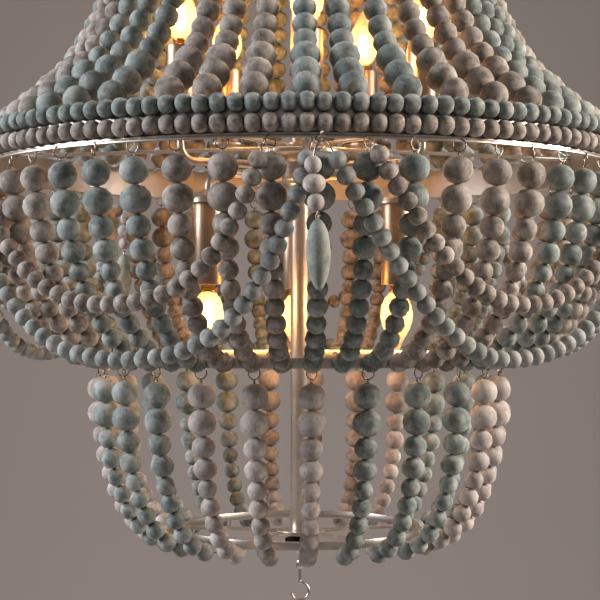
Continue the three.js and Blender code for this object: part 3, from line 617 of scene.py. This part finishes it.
def grained(blank, unit):
    """Keeps the places in a blank's grain, counted in a unit of length, and leaves it out of the picture."""
    place = blank.data.attributes.new("bead_place", "FLOAT_VECTOR", "POINT")
    for vertex in blank.data.vertices:
        place.data[vertex.index].vector = vertex.co / unit
    blank.hide_render = True
    return blank


def bead_blank(name, across, along, sides, rows, power=BALL_POWER):
    """One bead at its real size, bored along Z."""
    half = along / 2
    low = acos(min(BORE_RADIUS / (across / 2), 1))
    profile = [(0, -half * DIMPLE_SHARE)]
    for row in range(rows):
        angle = -low + 2 * low * row / (rows - 1)
        radius = across / 2 * abs(cos(angle)) ** (2 / power)
        height = half * abs(sin(angle)) ** (2 / power) * (1 if angle > 0 else -1)
        profile.append((radius, height))
    profile.append((0, half * DIMPLE_SHARE))
    return grained(lathe(name, profile, sides), across / 2)


# The tree sets a copy of the blank on each point, turned and sized by the point's own attributes.
bead_tree, entry = new_tree("threaded beads", Bead="Object", Seed="Int", Finish="Material")
blank = add_node(bead_tree, "GeometryNodeObjectInfo", {"Object": entry.outputs["Bead"]})
lean = add_node(bead_tree, "GeometryNodeInputNamedAttribute", {"Name": "turn"}, data_type="FLOAT_VECTOR")
turn = add_node(bead_tree, "FunctionNodeEulerToRotation", {"Euler": lean})
size = add_node(bead_tree, "GeometryNodeInputNamedAttribute", {"Name": "size"}, data_type="FLOAT_VECTOR")
threaded = add_node(bead_tree, "GeometryNodeInstanceOnPoints", {
    "Points": entry.outputs["Geometry"], "Instance": blank.outputs["Geometry"],
    "Rotation": turn, "Scale": size})
stain = add_node(bead_tree, "FunctionNodeRandomValue", {"Seed": entry.outputs["Seed"]}, data_type="FLOAT")
stained = add_node(bead_tree, "GeometryNodeStoreNamedAttribute", {
    "Geometry": threaded, "Name": "bead_shade", "Value": stain.outputs[1]},
    data_type="FLOAT", domain="INSTANCE")
smooth = add_node(bead_tree, "GeometryNodeSetShadeSmooth", {"Geometry": stained})
real = add_node(bead_tree, "GeometryNodeRealizeInstances", {"Geometry": smooth})
unturned = add_node(bead_tree, "GeometryNodeRemoveAttribute", {"Geometry": real, "Name": "turn"})
plain = add_node(bead_tree, "GeometryNodeRemoveAttribute", {"Geometry": unturned, "Name": "size"})
dipped = add_node(bead_tree, "GeometryNodeSetMaterial", {
    "Geometry": plain, "Material": entry.outputs["Finish"]})
add_node(bead_tree, "NodeGroupOutput", {"Geometry": dipped})

dice = random.Random(7)
SIZE_SPREAD_SHARE = 0.025


def beads(name, blank, threaded, finish, seed):
    """Threaded is a list of (centre, direction, width share, length share) for copies of one blank."""
    mesh = bpy.data.meshes.new(name + "_places")
    mesh.from_pydata([centre for centre, *_ in threaded], [], [])
    turns = mesh.attributes.new("turn", "FLOAT_VECTOR", "POINT")
    sizes = mesh.attributes.new("size", "FLOAT_VECTOR", "POINT")
    for number, (_, direction, width, length) in enumerate(threaded):
        spin = Quaternion((0, 0, 1), dice.uniform(0, tau))
        turns.data[number].vector = (direction.to_track_quat("Z", "Y") @ spin).to_euler()
        own = 1 + dice.uniform(-SIZE_SPREAD_SHARE, SIZE_SPREAD_SHARE)
        sizes.data[number].vector = (width * own, width * own, length)
    return grown(name, mesh, bead_tree, {"Bead": blank, "Seed": seed, "Finish": finish})


THREAD_WIRE = 0.6 * MM


def thread_wires(name, lines, closed=False):
    """The thin wires on which beads are threaded."""
    return wires(name, lines, THREAD_WIRE, 5, wire_metal, closed)


class Strand:
    """A curve walked in small steps, so that beads can be laid along its true length."""

    def __init__(self, curve, steps=400):
        self.points = [curve(step / steps) for step in range(steps + 1)]
        self.lengths = [0]
        for before, after in zip(self.points, self.points[1:]):
            self.lengths.append(self.lengths[-1] + (after - before).length)
        self.total = self.lengths[-1]

    def point(self, length):
        wanted = min(max(length, 0), self.total)
        step = max(bisect_left(self.lengths, wanted), 1)
        before = self.lengths[step - 1]
        share = (wanted - before) / (self.lengths[step] - before)
        return self.points[step - 1].lerp(self.points[step], share)

    def direction(self, length):
        return (self.point(length + MM) - self.point(length - MM)).normalized()

    def line(self, start, end, steps):
        """Evenly spaced points of the strand, for its wire."""
        return [self.point(start + (end - start) * step / steps) for step in range(steps + 1)]


def thread(strand, start, sizes, shape):
    """Lays beads of (across, along) one after another, as shares of a blank's own (across, along)."""
    placed = []
    length = start
    for across, along in sizes:
        middle = length + along / 2
        placed.append((strand.point(middle), strand.direction(middle), across / shape[0], along / shape[1]))
        length += along
    return placed


FIRST = (25.7 * MM, 23.6 * MM)
LARGE = (26.9 * MM, 24.4 * MM)
MIDDLE = (21.7 * MM, 19.8 * MM)
SMALL = (17.9 * MM, 17.2 * MM)
CROWN = (13.2 * MM, 13.5 * MM)
ball_blank = bead_blank("ball_blank", *LARGE, 12, 7)
small_blank = bead_blank("small_blank", *LARGE, 10, 5)


# Tent
# Fifty strands sweep up from the rim to the small crown ring: three large beads, then smaller and
# smaller ones. Threes of blue-green strands take turns with threes of taupe ones, wired on by hand.

RIM_STRANDS = 50
CROWN_RADIUS = 116 * MM
CROWN_HEIGHT = CROWN_TOP - 5 * MM
RIM_MIDDLE = 313 * MM
TENT_RADIUS = 304.5 * MM
TENT_STRAIGHT_SHARE = 0.56
TENT_POWER = 7
# The hand-wired strands in front stand wider apart than the rest: their bearings in degrees, from the
# sixth to the left of the front one to the fifth to its right.
TENT_FRONT = [-52.6, -44.7, -36.2, -24.9, -18.2, -10.4, -1.9, 5.7, 14.9, 23.5, 31.8, 40.1]
TENT_FRONT_FIRST = -6
TENT_SLACK_DEGREES = 0.4


def tent_curve(bearing):
    low = RIM_TOP + 2 * MM

    def curve(share):
        reach = TENT_STRAIGHT_SHARE * (1 - share) + (1 - TENT_STRAIGHT_SHARE) * (1 - share) ** TENT_POWER
        return at(CROWN_RADIUS + (TENT_RADIUS - CROWN_RADIUS) * reach, bearing,
                  low + (CROWN_HEIGHT - low) * share)
    return curve


def signed(number, count):
    """A strand's number counted either way from the front strand."""
    return number if number < count / 2 else number - count


def is_green(place, step=0):
    """Whether a strand is one of a green three."""
    return floor((place - step) / 3) % 2 == 0


TENT_START = 6 * MM
TENT_END = 4 * MM
SHRINK_FROM = 0.3
SHRINK_OVER = 0.55
tent_length = Strand(tent_curve(0)).total - TENT_START - TENT_END
tent_big = [FIRST, LARGE, LARGE] + [MIDDLE] * 3
tent_sizes = list(tent_big)
while sum(along for _, along in tent_sizes) < tent_length:
    used = sum(along for _, along in tent_sizes) / tent_length
    shrink = min(max((used - SHRINK_FROM) / SHRINK_OVER, 0), 1)
    tent_sizes.append(tuple(a + (b - a) * shrink for a, b in zip(MIDDLE, CROWN)))
tent_sizes.pop()

tent_large = {True: [], False: []}
tent_small = {True: [], False: []}
tent_wires = []
even_gap = (360 + TENT_FRONT[0] - TENT_FRONT[-1]) / (RIM_STRANDS - len(TENT_FRONT) + 1)
for number in range(RIM_STRANDS):
    place = signed(TENT_FRONT_FIRST + number, RIM_STRANDS)
    if number < len(TENT_FRONT):
        degrees = TENT_FRONT[number]
    else:
        degrees = (TENT_FRONT[-1] + even_gap * (number - len(TENT_FRONT) + 1)
                   + dice.uniform(-TENT_SLACK_DEGREES, TENT_SLACK_DEGREES))
    bearing = radians(degrees)
    strand = Strand(tent_curve(bearing))
    placed = thread(strand, TENT_START, tent_sizes, LARGE)
    tent_large[is_green(place)] += placed[:len(tent_big)]
    tent_small[is_green(place)] += placed[len(tent_big):]
    tent_wires.append([at(RIM_MIDDLE, bearing, RIM_TOP - MM), *strand.line(0, strand.total, 40)])

STRAND_FINISHES = [(True, "green", green_wood), (False, "taupe", taupe_wood)]
for green, word, finish in STRAND_FINISHES:
    hang(joined(f"tent_beads_{word}", [
        beads(f"tent_{word}_large", ball_blank, tent_large[green], finish, 11),
        beads(f"tent_{word}_small", small_blank, tent_small[green], finish, 12)]),
        "upper_tier", slot=f"{word}_wood")
hang(thread_wires("tent_wires", tent_wires), "upper_tier")


# Bowl
# Fifty strands hang on jump rings from the rim's lip and tuck in to the waist ring: two large beads,
# two middle ones and eight small ones, in the same threes of colour as the tent.

RIM_LIP = RIM_BOTTOM
BOWL_BOTTOM = -854.7 * MM
BOWL_END_RADIUS = WAIST_RADIUS - 2 * MM


def bowl_curve(bearing):
    def curve(share):
        angle = share * pi / 2
        reach = BOWL_END_RADIUS + (RIM_MIDDLE - BOWL_END_RADIUS) * cos(angle)
        return at(reach, bearing, RIM_LIP + (BOWL_BOTTOM - RIM_LIP) * sin(angle))
    return curve


BOWL_START = 12 * MM
bowl_sizes = [FIRST, LARGE] + [MIDDLE] * 2 + [SMALL] * 8
bowl_beads = {True: [], False: []}
bowl_wires = []
for number in range(RIM_STRANDS):
    strand = Strand(bowl_curve(tau * number / RIM_STRANDS))
    bowl_beads[is_green(signed(number, RIM_STRANDS))] += thread(strand, BOWL_START, bowl_sizes, LARGE)
    bowl_wires.append(strand.line(BOWL_START - 2 * MM, strand.total, 30))

for green, word, finish in STRAND_FINISHES:
    string = beads(f"bowl_beads_{word}", ball_blank, bowl_beads[green], finish, 21)
    hang(string, "middle_tier", slot=f"{word}_wood")

# Split rings of 1.2 mm steel wire, 12 mm across, go through the holes in the lip, and each strand's wire
# ends in a small eye on its ring.
JUMP_RING = 5.4 * MM
JUMP_WIRE = 0.6 * MM
ring_section = [(JUMP_RING + JUMP_WIRE * cos(tau * k / 6), JUMP_WIRE * sin(tau * k / 6)) for k in range(6)]
ring_blank = lathe("ring_blank", ring_section, 18, closed=True)
ring_blank.hide_render = True
RING_SLACK = 0.9
EYE_SHARES = (0.4, 0.4 * 1.6)
LIP_HOLES = 314.6 * MM


def wire_work(tier, count, radius, top, lines, seed):
    """A tier's wires, and the rings they hang on: turned a little either way, with an eye below each."""
    placed = []
    for number in range(count):
        bearing = tau * number / count
        facing = bearing + dice.uniform(-RING_SLACK, RING_SLACK)
        centre = at(radius, bearing, top - JUMP_RING + 1.2 * MM)
        eye = centre - Vector((0, 0, JUMP_RING + 1.4 * MM))
        placed += [(centre, at(1, facing, 0), 1, 1), (eye, at(1, facing + pi / 2, 0), *EYE_SHARES)]
    rings = beads(f"{tier}_jump_rings", ring_blank, placed, wire_metal, seed)
    return joined(f"{tier}_wire_work", [rings, thread_wires(f"{tier}_wires", lines)])


hang(wire_work("bowl", RIM_STRANDS, LIP_HOLES, RIM_LIP, bowl_wires, 61), "middle_tier")


# Basket
# Twenty-five strands hang on jump rings from the waist ring, run in under the foot ring and are wired
# up to it: two large beads, two middle ones and six small ones. Its taupe beads take the pale wash, a
# lighter copy of the taupe painted to stand for the brighter light on the basket.

BASKET_STRANDS = 25
WAIST_HOLES = 201.5 * MM
BASKET_TOP = -860 * MM
BASKET_BOTTOM = -1036.5 * MM
BASKET_TOP_RADIUS = 200 * MM
BASKET_POWER = 2.5
FOOT_HOLES = FOOT_RADIUS - 2 * MM
FOOT_TIE = FOOT_BOTTOM + 4 * MM


def basket_curve(bearing):
    def curve(share):
        angle = share * pi / 2
        down = sin(angle) ** (2 / BASKET_POWER)
        out = cos(angle) ** (2 / BASKET_POWER)
        reach = FOOT_HOLES + (BASKET_TOP_RADIUS - FOOT_HOLES) * out
        return at(reach, bearing, BASKET_TOP + (BASKET_BOTTOM - BASKET_TOP) * down)
    return curve


BASKET_START = 12.4 * MM
BASKET_SMALL = (17.9 * MM, 17.5 * MM)
basket_sizes = [FIRST, LARGE] + [MIDDLE] * 2 + [BASKET_SMALL] * 6
basket_beads = {True: [], False: []}
basket_wires = []
for number in range(BASKET_STRANDS):
    bearing = tau * number / BASKET_STRANDS
    strand = Strand(basket_curve(bearing))
    green = is_green(signed(number, BASKET_STRANDS), 1)
    basket_beads[green] += thread(strand, BASKET_START, basket_sizes, LARGE)
    run = strand.line(BASKET_START - 2 * MM, strand.total, 30)
    basket_wires.append([*run, at(FOOT_HOLES, bearing, FOOT_TIE)])

# The basket's taupe beads take the pale wash: the taupe painted lighter for the brighter light on them.
for green, word, finish in [STRAND_FINISHES[0], (False, "taupe", pale_wood)]:
    string = beads(f"basket_beads_{word}", ball_blank, basket_beads[green], finish, 31)
    hang(string, "lower_tier", slot=f"{word}_wood")
hang(wire_work("basket", BASKET_STRANDS, WAIST_HOLES, WAIST_BOTTOM, basket_wires, 62), "lower_tier")


# Rim rows
# Two rows of 140 barrel beads are wired round the outside of the rim band, with their bores along the
# row: taupe below and blue-green above.

ROW_BEADS = 140
ROW_RADIUS = 320.2 * MM
ROW_BEAD = (16 * MM, 14.2 * MM)
ROW_SLACK = 0.0012
ROW_SLACK_MM = 0.5
BARREL_POWER = 2.5
row_blank = bead_blank("row_blank", *ROW_BEAD, 14, 7, BARREL_POWER)

row_lines = []
for word, row_height, colour, finish in [
        ("lower", -659.5 * MM, "taupe", taupe_wood), ("upper", -643 * MM, "green", green_wood)]:
    row = []
    for number in range(ROW_BEADS):
        bearing = tau * (number + 0.25) / ROW_BEADS + dice.uniform(-ROW_SLACK, ROW_SLACK)
        height = row_height + dice.uniform(-ROW_SLACK_MM, ROW_SLACK_MM) * MM
        row.append((at(ROW_RADIUS, bearing, height), at(1, bearing + pi / 2, 0), 1, 1))
    string = beads(f"rim_row_{word}", row_blank, row, finish, 41)
    hang(string, f"{word}_rim_beads", slot=f"{colour}_wood")
    row_lines.append([at(ROW_RADIUS, tau * n / ROW_BEADS, row_height) for n in range(ROW_BEADS)])
hang(thread_wires("rim_row_wires", row_lines, True), "upper_rim_beads")


# Swags
# From each of five places on the rim a long and a short string of beads loop to the next. They lie on
# the bowl near their ends and hang free of it between. Each end is wired up to the lip.

SWAG_BEAD = (16.2 * MM, 14.5 * MM)
LONG_STEEPNESS = 4
SHORT_STEEPNESS = 3
NODE_SPREAD = 9.5 / 314
SHORT_STEP = 1.25 * tau / RIM_STRANDS
LONG_DROP = 181 * MM
SHORT_DROP = 134 * MM
SWAG_HOOK_DROP = 5 * MM
SWAG_REACH = 328 * MM
swag_blank = bead_blank("swag_blank", *SWAG_BEAD, 12, 7)

# How the bowl's beads shrink down their strands, and how a string on them sinks in near the lip.
BOWL_WIDEST_MM = 26
BOWL_SHRINK_MM = 8.2
BOWL_SHRINK_SHARE = 0.55
TUCK_FROM_MM = 65
TUCK_OVER_MM = 35
TUCK_DEPTH_MM = 8
SWAG_OFF_MM = 9


def swag_seat(height):
    """The radius at which a string rides on the bowl's beads. Near its ends it drops in between them."""
    down = min(max((RIM_LIP - height) / (RIM_LIP - BOWL_BOTTOM), 0), 1)
    tuck = min(max((height - RIM_LIP) / (TUCK_OVER_MM * MM) + TUCK_FROM_MM / TUCK_OVER_MM, 0), 1)
    strand = WAIST_RADIUS + (RIM_MIDDLE - WAIST_RADIUS) * sqrt(1 - down ** 2)
    half = (BOWL_WIDEST_MM - BOWL_SHRINK_MM * min(down / BOWL_SHRINK_SHARE, 1)) / 2 * MM
    return strand + half + (SWAG_OFF_MM - TUCK_DEPTH_MM * tuck) * MM


def swag_curve(middle_bearing, half_angles, drop, steepness):
    """Half angles and steepness are pairs, for the halves to the left and right of the low point."""
    high = RIM_LIP - SWAG_HOOK_DROP
    low = RIM_LIP - drop

    def placed(share):
        side = 1 if share > 0 else 0
        rise = (cosh(steepness[side] * share) - 1) / (cosh(steepness[side]) - 1)
        return share * half_angles[side], low + (high - low) * rise

    walked = [placed(step / 100 - 1) for step in range(201)]
    free = max(swag_seat(height) * cos(angle) for angle, height in walked)

    def curve(position):
        angle, height = placed(2 * position - 1)
        return at(max(min(free / cos(angle), SWAG_REACH), swag_seat(height)), middle_bearing + angle, height)
    return curve


# Wired by hand, the strings either side of the front pendant start closer to it, and those to its right
# sag straighter: bay, string, and for each half the angle off the node and the steepness.
LONG_HANG = [(NODE_SPREAD, LONG_STEEPNESS)] * 2
SHORT_HANG = [(SHORT_STEP, SHORT_STEEPNESS)] * 2
HAND_HUNG = {
    (0, "long"): [(4.6 / 314, 1.2), LONG_HANG[1]], (BAYS - 1, "long"): [LONG_HANG[0], (6.6 / 314, 4.3)],
    (0, "short"): [(SHORT_STEP * 0.8, 1.6), SHORT_HANG[1]],
    (BAYS - 1, "short"): [SHORT_HANG[0], (SHORT_STEP * 0.88, 4.2)]}

for bay in range(BAYS):
    middle_bearing = HALF_BAY + bay * 2 * HALF_BAY
    for word, hang_of_both, drop, colour, finish in [
            ("long", LONG_HANG, LONG_DROP, "green", swag_wood),
            ("short", SHORT_HANG, SHORT_DROP, "taupe", taupe_wood)]:
        off_node, steepness = zip(*HAND_HUNG.get((bay, word), hang_of_both))
        half_angles = [HALF_BAY - off for off in off_node]
        strand = Strand(swag_curve(middle_bearing, half_angles, drop, steepness))
        count = int((strand.total - 6 * MM) / SWAG_BEAD[1])
        start = (strand.total - count * SWAG_BEAD[1]) / 2
        first, last = [at(RIM_RADIUS, middle_bearing + turned, RIM_LIP - MM)
                       for turned in (-half_angles[0], half_angles[1])]
        tie = thread_wires(f"{word}_swag_wire_{bay + 1}", [[first, *strand.line(0, strand.total, 60), last]])
        hang(tie, f"{word}_swag_{bay + 1}")
        threaded = thread(strand, start, [SWAG_BEAD] * count, SWAG_BEAD)
        string = beads(f"{word}_swag_beads_{bay + 1}", swag_blank, threaded, finish, 51 + bay)
        hang(string, f"{word}_swag_{bay + 1}", slot=f"{colour}_wood")


# Pendants
# At each of the five places a bent wire reaches out from the lip over the swags. In its eye hangs a
# second wire with three pale beads, and under another eye a long turned spindle.

HINGE_RADIUS = 337 * MM
PENDANT_BEAD_RADIUS = 337.5 * MM
SPINDLE_RADIUS = 336.6 * MM
PENDANT_BEADS = [(13.8 * MM, 14.2 * MM), (18.6 * MM, 15.4 * MM), (14.2 * MM, 14 * MM)]
PENDANT_SHIFTS_MM = (-7, -6, -4.8)
PENDANT_FIRST = -688.2 * MM
SPINDLE_TOP = -737.8 * MM
SPINDLE_HALF = 28 * MM
SPINDLE_PROFILE = [(0, 0), (1.6, 0.4), (3.5, 2.4), (5.7, 6.9), (7.9, 13.4), (9.2, 19.6), (9.9, 25), (10, 30.5),
                   (9.4, 38), (7.9, 46), (5.6, 51.6), (3.6, 54.2), (1.7, 55.8), (0, 56)]
BRACKET_MM = [(313.4, -670.2), (317, -672), (324, -672.2)]
pendant_blank = bead_blank("pendant_blank", *PENDANT_BEADS[1], 14, 9)
spindle_blank = grained(lathe("spindle_blank", in_mm(SPINDLE_PROFILE, -SPINDLE_HALF), 20), 10 * MM)


def sideways(bearing, shift, radius, height):
    """A point that is some millimetres to one side of a bearing."""
    return at(radius, bearing, height) + at(1, bearing + pi / 2, 0) * shift * MM


for number in range(1, BAYS + 1):
    bearing = (number - 1) * 2 * HALF_BAY
    body = f"pendant_{number}"
    centres = []
    height = PENDANT_FIRST
    for shift, (_, along) in zip(PENDANT_SHIFTS_MM, PENDANT_BEADS):
        centres.append(sideways(bearing, shift, PENDANT_BEAD_RADIUS, height - along / 2))
        height -= along
    spindle_middle = sideways(bearing, -2.6, SPINDLE_RADIUS, SPINDLE_TOP - SPINDLE_HALF)
    spindle_top = sideways(bearing, -3.2, SPINDLE_RADIUS, SPINDLE_TOP)
    hinge = at(HINGE_RADIUS, bearing, RIM_LIP)
    bracket = wires(f"pendant_bracket_{number}", [[
        *[at(reach * MM, bearing, drop * MM) for reach, drop in BRACKET_MM],
        at(HINGE_RADIUS - 2.2 * MM, bearing, RIM_LIP - 0.4 * MM)]], 0.9 * MM, 8, wire_metal)
    bracket_eye = beads(f"pendant_bracket_eye_{number}", ring_blank, [
        (hinge, at(1, bearing + pi / 2, 0), 0.44, 1.2)], wire_metal, 64)
    hang(joined(f"pendant_hanger_{number}", [bracket, bracket_eye]), "rim_ring")
    lead = [hinge - Vector((0, 0, 4.6 * MM)), sideways(bearing, -2, 338.4 * MM, -678 * MM),
            sideways(bearing, -5.4, 339.4 * MM, -683 * MM)]
    wire = wires(f"pendant_wire_{number}", [[*lead, *centres, spindle_top]], 0.8 * MM, 8, wire_metal)
    eyes = beads(f"pendant_eyes_{number}", ring_blank, [
        (place + Vector((0, 0, lift * MM)), at(1, bearing + turned, 0), 0.42, length)
        for place, lift, turned, length in [
            (spindle_top, 5.2, pi / 4, 0.7), (spindle_top, 2, -pi / 4, 0.7), (lead[0], 1.4, 0, 1.2)]],
        wire_metal, 63)
    hang(joined(f"pendant_wire_work_{number}", [wire, eyes]), body, body=body)
    down = (spindle_middle - centres[0]).normalized()
    string = beads(f"pendant_beads_{number}", pendant_blank, [
        (centre, down, across / PENDANT_BEADS[1][0], along / PENDANT_BEADS[1][1])
        for centre, (across, along) in zip(centres, PENDANT_BEADS)], pale_wood, 70 + number)
    hang(string, body, slot="pale_wood", body=body)
    spindle = beads(f"pendant_spindle_{number}", spindle_blank, [
        (spindle_middle, (spindle_top - spindle_middle).normalized(), 1, 1)], spindle_wood, 80 + number)
    hang(spindle, body, slot="pale_wood", body=body)


# Finial
# Under the lock nut a small turned knob carries an open steel hook, which swings on its shank.

KNOB_TOP = NUT_BOTTOM - SEAT_GAP
KNOB_PROFILE = [(0, -9), (2.6, -9), (3.4, -8.2), (5.2, -7.2), (7.2, -5.2), (8, -3.2), (7.6, -1.6), (5.6, -0.7),
                (5.4, 0), (0, 0)]
knob = lathe("knob", eased(in_mm(KNOB_PROFILE, KNOB_TOP), 0.3 * MM), 32)
hang(finished(knob), "finial_knob")

HOOK_TOP = KNOB_TOP - 9.5 * MM
HOOK_WIRE = 1.6 * MM
HOOK_RADIUS = 9 * MM
HOOK_SHANK = 28 * MM
HOOK_TURN = 0.72 * tau
HOOK_STEPS = 24
SWELL_PROFILE = [(0, -14.8), (1.6, -14.6), (2.8, -13.6), (3.8, -11.6), (4, -9), (3.8, -6.4), (2.8, -4.6),
                 (1.6, -4), (0, -3.8)]
hook_centre = HOOK_TOP - HOOK_SHANK - HOOK_RADIUS
hook_path = [Vector((0, 0, HOOK_TOP - HOOK_SHANK * step / 6)) for step in range(7)]
for step in range(1, HOOK_STEPS + 1):
    angle = pi / 2 - step / HOOK_STEPS * HOOK_TURN
    hook_path.append(Vector((HOOK_RADIUS * cos(angle), 0, hook_centre + HOOK_RADIUS * sin(angle))))
hook = wires("hook_wire", [hook_path], HOOK_WIRE, 14, champagne)
swell = finished(lathe("hook_swell", in_mm(SWELL_PROFILE, HOOK_TOP), 24))
hang(joined("hook", [hook, swell]), "finial_hook", body="hook")


# Studio
# A plain pale floor runs up into a backdrop. Two soft lamps stand at the sides, the right one stronger
# and warmer, and a third hangs above.

FLOOR_HEIGHT = -2.4
HALF_FLOOR = 7
BACKDROP = [(-6, 0), (3.2, 0), (3.7, 0.08), (4.1, 0.35), (4.3, 0.8), (4.35, 1.4), (4.35, 5)]
points = [(side, depth, FLOOR_HEIGHT + rise) for depth, rise in BACKDROP for side in (-HALF_FLOOR, HALF_FLOOR)]
faces = [(2 * k, 2 * k + 1, 2 * k + 3, 2 * k + 2) for k in range(len(BACKDROP) - 1)]
floor_piece = mesh_object("floor", points, faces)
floor_piece.data.shade_smooth()
floor_paint, tree = new_material("backdrop paint")
paint = add_node(tree, "ShaderNodeBsdfPrincipled", {"Base Color": linear("#aea6a2"), "Roughness": 0.9})
show_surface(tree, paint)
floor_piece.data.materials.append(floor_paint)

world = bpy.data.worlds.new("studio")
bpy.context.scene.world = world
world.use_nodes = True
tree = world.node_tree
tree.nodes.clear()
sky = add_node(tree, "ShaderNodeBackground", {"Color": linear("#efe9e4"), "Strength": 0.16})
add_node(tree, "ShaderNodeOutputWorld", {"Surface": sky})

LAMPS_AIM = Vector((0, 0, -0.75))
for name, place, size, power, colour in [
        ("left", Vector((-2.3, -0.3, 0)), 1.1, 92, "#ecedf1"),
        ("right", Vector((2.3, -0.4, 0)), 1.1, 118, "#fff1e3"),
        ("top", Vector((0, 1.2, 1.6)), 2.0, 24, "#f4f0ec")]:
    lamp_data = bpy.data.lights.new(name, "AREA")
    lamp_data.size = size
    lamp_data.energy = power
    lamp_data.color = linear(colour)[:3]
    lamp = new_object(name, lamp_data)
    lamp.location = place
    lamp.rotation_euler = (LAMPS_AIM - place).to_track_quat("-Z", "Y").to_euler()

bpy.context.scene.view_settings.view_transform = "Standard"

for spare in [ball_blank, small_blank, row_blank, swag_blank, ring_blank, pendant_blank, spindle_blank]:
    bpy.data.objects.remove(spare)
